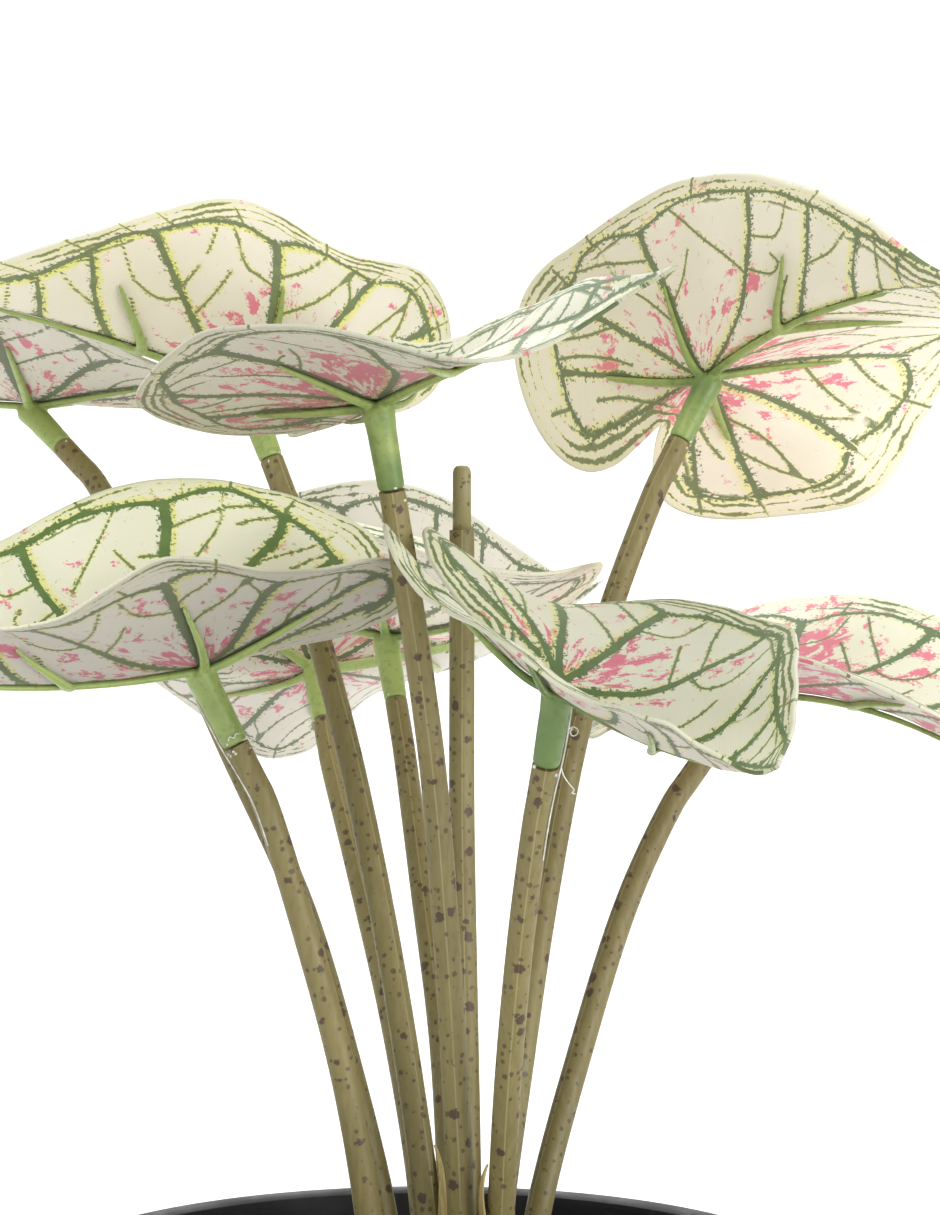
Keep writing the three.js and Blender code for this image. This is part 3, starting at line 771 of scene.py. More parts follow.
class ShapeTree(Nodes):
    """Geometry Nodes with one shape and some named sizes coming in, and one shape going out."""

    def __init__(self, name, shape, sizes):
        super().__init__(bpy.data.node_groups.new(name, "GeometryNodeTree"))
        self.socket("Geometry", "Geometry", "OUTPUT")
        self.socket(shape, "Geometry")
        self.ids = {size: self.socket(size, kind) for size, kind in sizes.items()}
        self.source = self.node("NodeGroupInput").outputs

    def socket(self, name, kind, way="INPUT"):
        kind = "NodeSocket" + kind
        return self.tree.interface.new_socket(name=name, in_out=way, socket_type=kind).identifier

    def shape(self, kind, inputs=(), **settings):
        return self.node(kind, inputs, **settings).outputs[0]

    def close(self, shape, smooth, material):
        """Ends the tree: copies made real, shaded, and given the material."""
        real = self.shape("GeometryNodeRealizeInstances", {"Geometry": shape})
        shaded = {"Geometry": real, "Shade Smooth": smooth}
        dressed = {"Geometry": self.shape("GeometryNodeSetShadeSmooth", shaded), "Material": material}
        self.node("NodeGroupOutput", {"Geometry": self.shape("GeometryNodeSetMaterial", dressed)})

    def applied(self, piece, sizes):
        """The piece with what these nodes make of it as its own mesh."""
        modifier = piece.modifiers.new("shaped", "NODES")
        modifier.node_group = self.tree
        for size, value in sizes.items():
            modifier[self.ids[size]] = value
        return settle_modifiers(piece)


def colour(rgb):
    """A setting's colour as a socket takes it."""
    return (rgb[0], rgb[1], rgb[2], 1.0)


# ---------------------------------------------------------------- settings


def length_setting(label, about, millimetres, **limits):
    """A length setting; its default, min and max are given in millimetres."""
    limits = {limit: value * MM for limit, value in limits.items()}
    return bpy.props.FloatProperty(
        name=label, description=about, default=millimetres * MM, unit="LENGTH", **limits
    )


def count_setting(label, about, default, **limits):
    return bpy.props.IntProperty(name=label, description=about, default=default, **limits)


def colour_setting(label, about, rgb):
    return bpy.props.FloatVectorProperty(
        name=label, description=about, default=rgb, subtype="COLOR", min=0, max=1
    )


class CaladiumLeafSettings(bpy.types.PropertyGroup):
    thickness: length_setting("Thickness", "Thickness of the printed cloth", 0.5, min=0.2, max=0.7)
    spokes: count_setting("Spokes", "Points around each leaf", 248, min=80, max=320)
    rings: count_setting("Rings", "Points from the hub to the margin", 54, min=16, max=70)
    pucker: length_setting("Pucker", "Height of the cloth's small puckers", 0.22, min=0, max=0.4)
    cream: colour_setting("Cream", "Ground colour of the upper side", (0.80, 0.80, 0.645))
    back: colour_setting("Back", "Ground colour of the underside", (0.82, 0.77, 0.66))
    vein: colour_setting("Vein", "Green of the printed veins", (0.07, 0.145, 0.028))
    vein_back: colour_setting("Vein back", "The veins' colour on the underside", (0.085, 0.125, 0.04))
    halo: colour_setting("Halo", "Yellow beside the printed veins", (0.77, 0.76, 0.22))
    pink: colour_setting("Pink", "Pink flecks near the hub", (0.75, 0.11, 0.22))
    seed: count_setting("Seed", "Seed of the puckers", 7)


class CaladiumClipSettings(bpy.types.PropertyGroup):
    root_width: length_setting("Root width", "Width of an arm at the hub", 2.0)
    end_width: length_setting("End width", "Width of an arm at its end", 0.8)
    voxel: length_setting("Voxel", "How finely arms and socket are run together", 0.26, min=0.15, max=0.6)
    green: colour_setting("Green", "Darker green of the moulded clips", (0.13, 0.215, 0.055))
    # The lighter green is also where the clips' painted light goes: light through the thin arms and how
    # lit each clip is.
    lime_and_painted_light: colour_setting("Lime", "Lighter green of the moulded clips", (0.33, 0.42, 0.12))


class CaladiumStemSettings(bpy.types.PropertyGroup):
    foot_radius: length_setting("Foot radius", "Radius of a stem in the fill", STEM_FOOT_RADIUS)
    top_radius: length_setting("Top radius", "Radius of a stem under its clip", STEM_TOP_RADIUS)
    sides: count_setting("Sides", "Faces round a stem", 28, min=8, max=64)
    step: length_setting("Step", "Distance between a stem's rings", 1.6, min=0.5, max=6)
    sheath_height: length_setting("Sheath height", "How far a dry sheath's tip is above the fill", 33)
    olive: colour_setting("Olive", "Ground colour of the stems", (0.185, 0.15, 0.052))
    spot: colour_setting("Spot", "Colour of the stems' spots", (0.06, 0.028, 0.022))


class CaladiumGlueSettings(bpy.types.PropertyGroup):
    speck: length_setting("Speck", "Half the size of a large speck", 0.34)
    thread: length_setting("Thread", "Radius of a full thread", 0.13)
    seed: count_setting("Seed", "Seed of the specks", 5)


class CaladiumPotSettings(bpy.types.PropertyGroup):
    sides: count_setting("Sides", "Faces round the pot", 144, min=32, max=256)
    black: colour_setting("Black", "Colour of the pot", (0.008, 0.008, 0.010))
    crumbs: count_setting("Crumbs", "Loose crumbs on the fill", 900, min=0, max=3000)
    crumb_size: length_setting("Crumb size", "Radius of a large crumb", 1.3)
    seed: count_setting("Seed", "Seed of the crumbs", 3)


class CaladiumStageSettings(bpy.types.PropertyGroup):
    camera_at: bpy.props.FloatVectorProperty(
        name="Camera", description="Where the camera stands", subtype="TRANSLATION",
        default=(7.3 * MM, -460 * MM, 223.6 * MM), unit="LENGTH",
    )
    field_of_view: bpy.props.FloatProperty(
        name="Field of view", description="Height of the camera's view",
        default=2 * math.atan(IMAGE_HEIGHT / 2 / LENS_LENGTH), subtype="ANGLE",
    )
    floor: colour_setting("Floor", "Colour of the floor", (0.93, 0.93, 0.93))


# ---------------------------------------------------------------- leaves


def outline_points(count):
    """The whole flat outline, smooth between the tip and the notch, count points in order."""
    half = along(spline_points(HALF_OUTLINE, 6), count // 2 + 1)
    other = half[1:-1][::-1] * [1, -1]
    return np.vstack([half, other])


def vein_segments(side):
    """Pieces of a half leaf's veins as arrays (start, end, half width at each), main and thin."""
    sign = 1 if side == "left" else -1
    rim = RIM_VEINS[side]
    main = [MIDRIB, *MAIN_VEINS[side], rim]
    thin = [(THIN_ROOT, THIN_END, line) for line in THIN_VEINS[side]]
    for u, v in rim[2][1::2]:
        thin.append((THIN_ROOT, SPUR_END, [(u, v), (u * SPUR_REACH, v * SPUR_REACH)]))
    out = []
    for group in (main, thin):
        parts = []
        for root, end, points in group:
            line = spline_points(np.array(points, float) * [1, sign], 4)
            width = np.linspace(root, end, len(line))
            parts.append(np.column_stack([line[:-1], line[1:], width[:-1], width[1:]]))
        out.append(np.vstack(parts))
    return out


def edge_distance(points, segments):
    """How far each point is outside the nearest vein's edge, how far it is from that vein's
    middle, negative on its right, and the vein's half width there."""
    best, offset, width = np.full(len(points), 99.0), np.zeros(len(points)), np.zeros(len(points))
    for ax, ay, bx, by, wa, wb in segments:
        step, place = np.array([bx - ax, by - ay]), points - [ax, ay]
        t = np.clip((place @ step) / max(step @ step, 1e-9), 0, 1)
        half = wa + (wb - wa) * t
        gap = np.hypot(*(place - t[:, None] * step).T)
        nearer = gap - half < best
        side = np.where(step[0] * place[:, 1] < step[1] * place[:, 0], -1, 1)
        best, width = np.where(nearer, gap - half, best), np.where(nearer, half, width)
        offset = np.where(nearer, gap * side, offset)
    return best, offset, width


def flat_leaf(spokes, rings):
    """The flat leaf's points, its faces, how many points are on its margin, and its print."""
    outline = outline_points(spokes)
    spokes = len(outline)
    share = np.linspace(0, 1, rings + 1)[1:] ** 0.92
    flat = np.vstack([[(0, 0)], (outline[None] * share[:, None, None]).reshape(-1, 2)])
    faces = [(0, 1 + k, 1 + (k + 1) % spokes) for k in range(spokes)]
    for ring in range(rings - 1):
        inner, outer = 1 + ring * spokes, 1 + (ring + 1) * spokes
        for k in range(spokes):
            n = (k + 1) % spokes
            faces.append((inner + k, outer + k, outer + n, inner + n))
    return flat, faces, spokes, print_distances(flat, outline)


def print_distances(flat, outline):
    """The distances that the print is drawn from: ink holds how far each point is from the main
    veins, from their yellow edges and from the margin; offset how far it is from the middles of
    the main and thin veins, negative on their right, and the main vein's half width; and fine
    how far it is from the thin veins."""
    left = flat[:, 1] >= 0
    main, thin = zip(vein_segments("left"), vein_segments("right"))

    def nearest(points, veins):
        return np.where(left, edge_distance(points, veins[0]), edge_distance(points, veins[1]))

    vein, vein_offset, width = nearest(flat, main)
    halo = nearest(flat + HALO_SHIFT, main)[0]
    fine, fine_offset, _ = nearest(flat, thin)
    loop = np.vstack([outline, outline[:1]])
    rim = np.column_stack([loop[:-1], loop[1:], np.zeros((len(outline), 2))])
    margin = edge_distance(flat, rim)[0]
    return {
        "ink": np.column_stack([vein, halo, margin]),
        "offset": np.column_stack([vein_offset, fine_offset, width]),
        "fine": fine,
    }


def puckers(flat, height, seed):
    """Small soft waves in the cloth, in millimetres, none at the hub."""
    draw = np.random.default_rng(seed)
    total = np.zeros(len(flat))
    for _ in range(PUCKER_WAVES):
        angle, length = draw.uniform(0, math.pi), draw.uniform(*PUCKER_LENGTHS)
        wave = flat @ [math.cos(angle), math.sin(angle)] * 2 * math.pi / length
        total += np.sin(wave + draw.uniform(0, 2 * math.pi))
    away = np.clip(np.hypot(*flat.T) / PUCKER_CALM, 0, 1)
    return total / 4 * height * away


def leaf_piece(plant, number, sheet, settings):
    """One leaf: the flat sheet bent as this plant's, closed at its margin."""
    flat, faces, spokes, distances = sheet
    u, v = flat.T
    middle = puckers(flat, settings.pucker / MM, settings.seed + number)
    half = settings.thickness / MM / 2
    upper = placed(plant, off_blade(plant, u, v, middle + half))
    lower = placed(plant, off_blade(plant, u, v, middle - half))
    count = len(flat)
    all_faces = list(faces) + [tuple(count + i for i in reversed(face)) for face in faces]
    edge = count - spokes
    for k in range(spokes):
        a, b = edge + k, edge + (k + 1) % spokes
        all_faces.append((a, count + a, count + b, b))
    piece = new_object("printed_leaf_" + plant["name"], np.vstack([upper, lower]), all_faces)
    own = np.full(count, 37.0 * number)
    point_values(piece, "flat", np.tile(np.column_stack([u, v, own]), (2, 1)))
    for name in ("ink", "offset"):
        point_values(piece, name, np.tile(distances[name], (2, 1)))
    # pale is painted light and shade: the upper side's points get the second factor, the underside's the
    # first.
    point_values(piece, "pale", np.repeat(plant["pale"][::-1], count))
    side = np.repeat([0.0, 1.0], count)
    bold = np.full(2 * count, plant["bold"])
    point_values(piece, "hand", np.column_stack([np.tile(distances["fine"], 2), side, bold]))
    point_values(piece, "print", np.tile(plant["print"], (2 * count, 1)))
    return piece


def main_veins(s, flat, tooth, vein, halo, offset, width, bold):
    """Ink and yellow edge of the main veins: a solid core with teeth along it."""
    half = s.times_plus(width, 0.62, bold)
    half = s.times_plus(s.noise(flat, 0.3, 1.0), 0.5, s.minus(half, 0.25))
    slack = s.minus(width, half)
    core = s.fall(s.minus(s.magnitude(offset), half), 0, INK_SOFTNESS)
    core = s.times(core, s.fall(vein, 0.3, 0.5))
    teeth = s.times_plus(tooth, -MAIN_TEETH, s.plus(vein, slack))
    ink = s.most(core, s.fall(teeth, 0, INK_SOFTNESS))
    edge = s.times_plus(tooth, -MAIN_TEETH, s.plus(halo, slack))
    return ink, s.fall(edge, 0.3, 0.55)


def thin_veins(s, flat, tooth, fine, offset):
    """Ink and yellow edge of the thin veins, which break off here and there."""
    kept = s.ramp(s.noise(flat, 0.16, 2.0), 0.28, 0.36)
    core = s.fall(s.magnitude(offset), 0.16, 0.3)
    core = s.times(core, s.fall(fine, 0.2, 0.4))
    edge = s.times_plus(tooth, -FINE_TEETH, fine)
    ink = s.most(core, s.fall(edge, -0.08, 0.04))
    return s.times(ink, kept), s.times(s.fall(edge, 0.2, 0.45), kept)


def margin_lines(s, flat, jag, margin, bands):
    """Ink and yellow edge of the broken lines that run along the margin."""
    drift = s.minus(s.noise(flat, 0.25, 2.0), 0.5)
    drift = s.times_plus(drift, 1.6, margin)
    band = s.math("PINGPONG", s.minus(drift, 0.3), BAND_SPACING)
    inside = s.times(s.ramp(drift, 0.2, 0.5), s.fall(drift, 4.4, 5.2))
    patchy = s.times_plus(bands, 0.26, s.noise(flat, 0.1, 2.0))
    band = s.times_plus(s.ramp(patchy, 0.5, 0.75), 0.45, band)
    ink = s.times(s.ramp(s.times_plus(jag, 1.3, band), 0.85, 0.97), inside)
    return ink, s.times(s.ramp(s.times_plus(jag, 1.1, band), 0.65, 0.78), inside)


def pink_flecks(s, flat, blush):
    """Flecks that stream out from the hub, fewer toward the margin."""
    u, v, own = s.split(flat)
    level = s.scaled(flat, 1, 1, 0)
    far = s.node("ShaderNodeVectorMath", {0: level}, operation="LENGTH").outputs[1]
    bearing = s.math("ARCTAN2", v, u)
    streak = {0: s.times(bearing, 7.0), 1: s.times(far, 0.2), 2: own}
    streak = s.node("ShaderNodeCombineXYZ", streak).outputs[0]
    patch = s.noise(streak, 1.0, 3.0, 0.62, 0.4)
    wide = s.minus(s.noise(flat, 0.075, 1.0), 0.5)
    want = s.times_plus(wide, 0.4, s.plus(patch, s.ramp(far, 6, 36, 0.09, -0.08)))
    want = s.times_plus(blush, 0.1, want)
    grain = s.minus(s.noise(flat, 2.2, 2.0), 0.5)
    return s.times(s.ramp(s.times_plus(grain, 0.22, want), 0.63, 0.71), 0.9)


def cloth_ground(s, flat, under, margin, settings):
    """The cloth's cream, clouded, and greener at the margin."""
    ground = s.mix(under, colour(settings.cream), colour(settings.back))
    ground = s.stain(ground, s.noise(flat, 0.09, 2.0), 0.35, 0.7, 0.2, CREAM_CLOUD)
    return s.mix(s.ramp(margin, 0, 3, 0.3, 0), ground, CREAM_EDGE)


def vein_green(s, flat, under, glow, settings):
    """The ink's green, brighter in places where the print is a glowing one."""
    green = s.mix(under, colour(settings.vein), colour(settings.vein_back))
    lively = s.times(s.ramp(s.noise(flat, 0.5, 2.0), 0.3, 0.75), 0.4)
    return s.mix(s.times(lively, glow), green, VEIN_BRIGHT)


def cloth_weave(s, flat):
    """Warp and weft, with the slanting lines that they make."""
    u, v, _ = s.split(flat)
    threads = s.times(s.wave(u, WARP_PITCH), s.wave(v, WEFT_PITCH))
    return s.times_plus(s.wave(s.plus(u, v), TWILL_PITCH), 0.7, threads)


def leaf_material(settings):
    """Printed woven cloth: cream ground, jagged green veins with yellow edges, pink flecks."""
    s = Surface("printed_cloth", Roughness=0.62, Sheen_Weight=0.08, Sheen_Roughness=0.5)
    flat = s.vector("flat")
    vein, halo, margin = s.split(s.vector("ink"))
    offset, fine_offset, width = s.split(s.vector("offset"))
    fine, under, bold = s.split(s.vector("hand"))
    blush, glow, bands = s.split(s.vector("print"))
    ragged = s.noise(flat, 1.25, 4.0, 0.72)
    tooth = s.ramp(ragged, 0.46, 0.66)
    main_ink, main_halo = main_veins(s, flat, tooth, vein, halo, offset, width, bold)
    fine_ink, fine_halo = thin_veins(s, flat, tooth, fine, fine_offset)
    rim_ink, rim_halo = margin_lines(s, flat, s.minus(ragged, 0.5), margin, bands)

    ground = cloth_ground(s, flat, under, margin, settings)
    ground = s.mix(pink_flecks(s, flat, blush), ground, colour(settings.pink))
    yellow = s.most(main_halo, s.times(fine_halo, 0.7))
    yellow = s.most(yellow, s.times(rim_halo, 0.8))
    tinted = s.mix(s.times(yellow, glow), ground, colour(settings.halo))
    ink = s.most(s.times(main_ink, 0.97), s.times(fine_ink, 0.9))
    ink = s.most(ink, s.times(rim_ink, 0.9))
    fleck = s.ramp(s.noise(flat, 0.6, 3.0, 0.7, 0.6), 0.67, 0.71)
    ink = s.most(ink, s.times(fleck, 0.35))
    printed = s.mix(ink, tinted, vein_green(s, flat, under, glow, settings))
    faded = s.mix(s.times(under, 0.08), printed, colour(settings.back))

    weave = cloth_weave(s, flat)
    # shade: the weave's small pattern times pale, the painted light and shade of each side.
    shade = s.times(s.times_plus(weave, 0.035, 1.0), s.value("pale"))
    woven = s.node("ShaderNodeVectorMath", {0: faded, "Scale": shade}, operation="SCALE")
    s.feed("Base Color", woven.outputs[0])
    s.bump(s.times_plus(main_ink, 0.8, s.times(weave, 0.35)), 0.06, 0.55)
    return s.material


class CALADIUM_OT_leaves(bpy.types.Operator):
    """Makes the nine printed leaves in the places of the plain ones."""

    bl_idname = "caladium.leaves"
    bl_label = "Leaves"

    def execute(self, context):
        settings = context.scene.caladium_leaves
        cloth = leaf_material(settings)
        sheet = flat_leaf(settings.spokes, settings.rings)
        for number, plant in enumerate(PLANTS):
            piece = leaf_piece(plant, number, sheet, settings)
            finish_piece(piece, cloth, "leaf", "leaf_" + plant["name"])
        return {"FINISHED"}


# ---------------------------------------------------------------- clips


def arm_shape(plant, line, settings):
    """One tapering half-round arm under the leaf, ending in a rounded tip."""
    points = along(spline_points(line, 6), ARM_ROWS)
    t = np.linspace(0, 1, ARM_ROWS)
    taper = 1 - t**1.4
    width = (settings.end_width + (settings.root_width - settings.end_width) * taper) / MM
    depth = ARM_END_DEPTH + ARM_ROOT_EXTRA * taper
    round_off = np.sqrt(np.clip((1 - t) / ARM_TIP_SHARE, 0, 1))
    round_off = round_off * (1 - ARM_TIP_SIZE) + ARM_TIP_SIZE
    ahead = unit(np.gradient(points, axis=0))
    across = np.stack([-ahead[:, 1], ahead[:, 0]], -1)
    angle = np.linspace(0, 2 * math.pi, ARM_SIDES, endpoint=False)
    verts = []
    for k in range(ARM_ROWS):
        side = np.cos(angle) * width[k] * round_off[k] / 2 / LEAF_SCALE
        drop = (1 - np.sin(angle)) / 2 * depth[k] * round_off[k]
        at = points[k] + across[k] * side[:, None]
        verts.append(off_blade(plant, at[:, 0], at[:, 1], -ARM_DROP - drop))
    return np.vstack(verts), strip_faces(ARM_ROWS, ARM_SIDES)


def socket_shape(plant, direction):
    """The round socket below the hub, flaring a little where the arms leave it."""
    rows = [
        (0, -SOCKET_LENGTH), (SOCKET_FOOT_RADIUS - 0.15, -SOCKET_LENGTH),
        (SOCKET_FOOT_RADIUS, -SOCKET_LENGTH + 0.5), (SOCKET_RADIUS - 0.05, -6),
        (SOCKET_RADIUS, -3.2), (2.42, -1.4), (2.5, -0.2), (2.1, 0.6), (1.2, 1.15), (0, 1.3),
    ]
    verts, faces = lathe(rows, SOCKET_SIDES)
    return turned_up(verts, direction) + hub_of(plant), faces


def clip_piece(plant, settings):
    """One clip: arms and socket run together, with how far each point of it goes toward the lighter
    green, which is painted light.
    """
    _, direction = stem_line(plant)
    shapes = []
    for line in ARM_LINES:
        verts, faces = arm_shape(plant, line, settings)
        shapes.append((placed(plant, verts), faces))
    shapes.append(socket_shape(plant, direction))
    verts, faces = join_shapes(shapes)
    piece = new_object("rib_clip_" + plant["name"], verts, faces)
    fused = piece.modifiers.new("fused", "REMESH")
    fused.mode = "VOXEL"
    fused.voxel_size = settings.voxel
    fused.use_smooth_shade = True
    eased = piece.modifiers.new("eased", "SMOOTH")
    eased.factor = 0.5
    eased.iterations = 3
    settle_modifiers(piece)
    points = np.array([v.co[:] for v in piece.data.vertices]) / MM
    reach = np.linalg.norm(points - hub_of(plant), axis=1)
    drop = (hub_of(plant) - points) @ direction
    # The arms grow lighter green away from the hub, painted light for light through their thinner
    # plastic; the socket doesn't.
    lime_and_painted_light = plant["lime_and_painted_light"] + 0.35 * np.clip((reach - 4) / 12, 0, 1) * (drop < 3)
    point_values(piece, "lime_and_painted_light", lime_and_painted_light)
    return piece


def clip_material(settings):
    """Moulded green plastic, clouded from darker to lighter green, pushed toward the lighter green by the
    clip's painted light, and a little glossy.
    """
    s = Surface("moulded_clip", Roughness=0.4, Coat_Weight=0.1, Coat_Roughness=0.25)
    place = s.object_place()
    cloud = s.noise(place, 120, 3.0, 0.6)
    fine = s.noise(place, 900, 2.0)
    # The share toward the lighter green: the real clouding plus the painted light stored on each point of
    # the clip.
    mottle_and_painted_light = s.ramp(s.plus(cloud, s.value("lime_and_painted_light")), 0.55, 1.15)
    tone = s.mix(mottle_and_painted_light, colour(settings.green), colour(settings.lime_and_painted_light))
    tone = s.stain(tone, fine, 0.5, 0.7, 0.3, CLIP_DARK)
    s.feed("Base Color", tone)
    s.feed("Roughness", s.ramp(fine, 0.2, 0.8, 0.32, 0.5))
    s.bump(cloud, 0.1, 0.4)
    return s.material


class CALADIUM_OT_clips(bpy.types.Operator):
    """Makes the nine moulded rib clips, arms and socket in one."""

    bl_idname = "caladium.clips"
    bl_label = "Rib clips"

    def execute(self, context):
        settings = context.scene.caladium_clips
        plastic = clip_material(settings)
        for plant in PLANTS:
            finish_piece(clip_piece(plant, settings), plastic, "clip", "clip_" + plant["name"])
        return {"FINISHED"}


# ---------------------------------------------------------------- stems


def stem_tree(material):
    """Nodes that sweep a round bar along a line of edges, thinner toward its end."""
    sizes = {"Foot radius": "Float", "Top radius": "Float", "Sides": "Int", "Step": "Float"}
    g = ShapeTree("round_stem", "Line", sizes)
    curve = g.shape("GeometryNodeMeshToCurve", {"Mesh": g.source["Line"]})
    even = {"Curve": curve, "Length": g.source["Step"]}
    even = g.shape("GeometryNodeResampleCurve", even, mode="LENGTH")
    width = {
        "Value": g.node("GeometryNodeSplineParameter").outputs["Factor"],
        "To Min": g.source["Foot radius"], "To Max": g.source["Top radius"],
    }
    width = g.node("ShaderNodeMapRange", width).outputs["Result"]
    thick = g.shape("GeometryNodeSetCurveRadius", {"Curve": even, "Radius": width})
    ring = {"Resolution": g.source["Sides"], "Radius": 1.0}
    ring = g.shape("GeometryNodeCurvePrimitiveCircle", ring)
    place = g.shape("GeometryNodeInputPosition")
    ring = {"Geometry": ring, "Name": "around", "Value": place}
    ring = g.shape("GeometryNodeStoreNamedAttribute", ring, data_type="FLOAT_VECTOR")
    scale = g.shape("GeometryNodeInputRadius")
    bar = {"Curve": thick, "Profile Curve": ring, "Scale": scale, "Fill Caps": True}
    g.close(g.shape("GeometryNodeCurveToMesh", bar), True, material)
    return g


def stem_material(settings):
    """Olive plastic with purple-brown spots and a pale moulding line along it."""
    s = Surface("speckled_stem", Roughness=0.5)
    place = s.object_place()
    tall = s.scaled(place, 1, 1, 0.35)
    fade = s.noise(place, 22, 2.0)
    grain = s.noise(tall, 1500, 2.0)
    streak = s.noise(s.scaled(place, 1, 1, 0.06), 900, 2.0)
    tone = s.mix(s.ramp(fade, 0.3, 0.7), colour(settings.olive), STEM_CLOUD)
    tone = s.stain(tone, streak, 0.45, 0.75, 0.3, STEM_STREAK)
    tone = s.stain(tone, grain, 0.5, 0.8, 0.3, STEM_GRAIN)
    across = s.magnitude(s.split(s.vector("around"))[0])
    seam = s.fall(across, 0.03, 0.09)
    tone = s.mix(s.times(seam, 0.45), tone, STEM_SEAM)
    ragged = s.times_plus(s.noise(place, 1800, 2.0), 0.4, -0.2)
    spots = []
    for scale, fewest, widest, soft in ((400, 0.2, 0.36, 0.04), (800, 0.1, 0.36, 0.06)):
        cells = s.node("ShaderNodeTexVoronoi", {"Vector": place, "Scale": scale})
        size = s.node("ShaderNodeSeparateColor", {0: cells.outputs["Color"]}).outputs[0]
        radius = s.ramp(size, fewest, 1.0, -0.12, widest)
        edge = s.minus(s.plus(cells.outputs["Distance"], ragged), radius)
        spots.append(s.fall(edge, -soft, soft))
    spot = s.most(spots[0], s.times(spots[1], 0.8))
    tone = s.mix(s.times(spot, 0.85), tone, colour(settings.spot))
    s.feed("Base Color", tone)
    s.feed("Roughness", s.ramp(grain, 0.2, 0.8, 0.4, 0.62))
    rough = s.times_plus(streak, 0.6, s.times(grain, 0.4))
    rough = s.times_plus(seam, 1.2, rough)
    s.bump(rough, 0.12, 0.5)
    return s.material


def sheath_piece(name, line, toward, bulge, settings):
    """A dry leaf sheath: a pointed strip that wraps a stem's foot and stands off near its tip."""
    rows, cols = SHEATH_ROWS, SHEATH_COLS
    one, two = side_frames(line)
    side = math.atan2(toward @ two[0], toward @ one[0])
    height = np.linspace(FILL_TOP - 0.5, FILL_TOP + settings.sheath_height / MM, rows)
    middle, one, two = (
        np.stack([np.interp(height, line[:, 2], table[:, k]) for k in range(3)], -1)
        for table in (line, one, two)
    )
    verts = []
    for shell in (SHEATH_INSIDE, SHEATH_OUTSIDE):
        for i, t in enumerate(np.linspace(0, 1, rows)):
            wrap = SHEATH_WRAP * (1 - t) ** 0.8 + 0.08
            radius = settings.foot_radius / MM + shell + bulge * math.sin(math.pi * t**4)
            for angle in side + wrap * np.linspace(-0.5, 0.5, cols):
                around = math.cos(angle) * one[i] + math.sin(angle) * two[i]
                verts.append(middle[i] + radius * around)
    count = rows * cols
    faces = []
    for a in (i * cols + k for i in range(rows - 1) for k in range(cols - 1)):
        faces.append((a, a + 1, a + cols + 1, a + cols))
        faces.append((count + a, count + a + cols, count + a + cols + 1, count + a + 1))
    border = list(range(cols)) + [i * cols + cols - 1 for i in range(1, rows)]
    border += [(rows - 1) * cols + k for k in range(cols - 2, -1, -1)]
    border += [i * cols for i in range(rows - 2, 0, -1)]
    for a, b in zip(border, border[1:] + border[:1]):
        faces.append((a, count + a, count + b, b))
    piece = new_object(name, verts, faces)
    tidy_normals(piece)
    return piece


def sheath_material():
    """Papery straw-yellow plastic with fibres up its length."""
    s = Surface("dry_sheath", Roughness=0.55)
    place = s.object_place()
    fibre = s.noise(s.scaled(place, 1, 1, 0.05), 1600, 3.0)
    cloud = s.noise(place, 150, 2.0)
    tone = s.mix(s.ramp(fibre, 0.35, 0.7), SHEATH_FIBRE, SHEATH_STRAW)
    tone = s.stain(tone, cloud, 0.5, 0.75, 0.4, SHEATH_CLOUD)
    s.feed("Base Color", tone)
    s.bump(fibre, 0.1, 0.6)
    return s.material


class CALADIUM_OT_stems(bpy.types.Operator):
    """Sweeps the ten stems, and makes the bare one's peg and the sheaths at two feet."""

    bl_idname = "caladium.stems"
    bl_label = "Stems"

    def execute(self, context):
        settings = context.scene.caladium_stems
        plastic, papery = stem_material(settings), sheath_material()
        round_bar = stem_tree(plastic)
        sizes = {
            "Foot radius": settings.foot_radius, "Top radius": settings.top_radius,
            "Sides": settings.sides, "Step": settings.step,
        }
        ways = {plant["name"]: stem_line(plant)[0] for plant in PLANTS}
        ways["bare"], direction = bare_line()
        for name, way in ways.items():
            line = swept_line(way)
            edges = [(i, i + 1) for i in range(len(line) - 1)]
            piece = new_object("speckled_stem_" + name, line, edges=edges)
            finish_piece(round_bar.applied(piece, sizes), None, "stem", "stem_" + name)
        verts, faces = lathe(PEG_PROFILE, PEG_SIDES)
        verts = turned_up(verts, direction) + ways["bare"][-1]
        finish_piece(new_object("stem_peg", verts, faces), plastic, "stem")
        for name, toward, bulge in SHEATHS:
            line = swept_line(ways[name])
            piece = sheath_piece("dry_sheath_" + name, line, np.array(toward), bulge, settings)
            finish_piece(piece, papery, "stem")
        return {"FINISHED"}


# ---------------------------------------------------------------- glue


def joint_point(plant, across, front, up):
    """A point by a stem's joint: to the right of it, in front of it, and up or down along it."""
    way, direction = stem_line(plant)
    line = spline_points(way, 24)[::-1]
    far = np.concatenate([[0], np.cumsum(np.linalg.norm(np.diff(line, axis=0), axis=1))])
    down = max(-up, 0.0)
    middle = np.array([np.interp(down, far, line[:, k]) for k in range(3)])
    middle = middle + direction * max(up, 0.0)
    right = unit(np.array([1.0, 0, 0]) - direction * direction[0])
    return middle + right * across + np.cross(right, direction) * front


def speck_shape(at, size):
    """A lumpy drop."""
    rows = [(0, -1), (0.6, -0.75), (0.95, -0.2), (0.9, 0.35), (0.5, 0.8), (0, 1)]
    verts, faces = lathe(rows, 9)
    return verts * size + at, faces


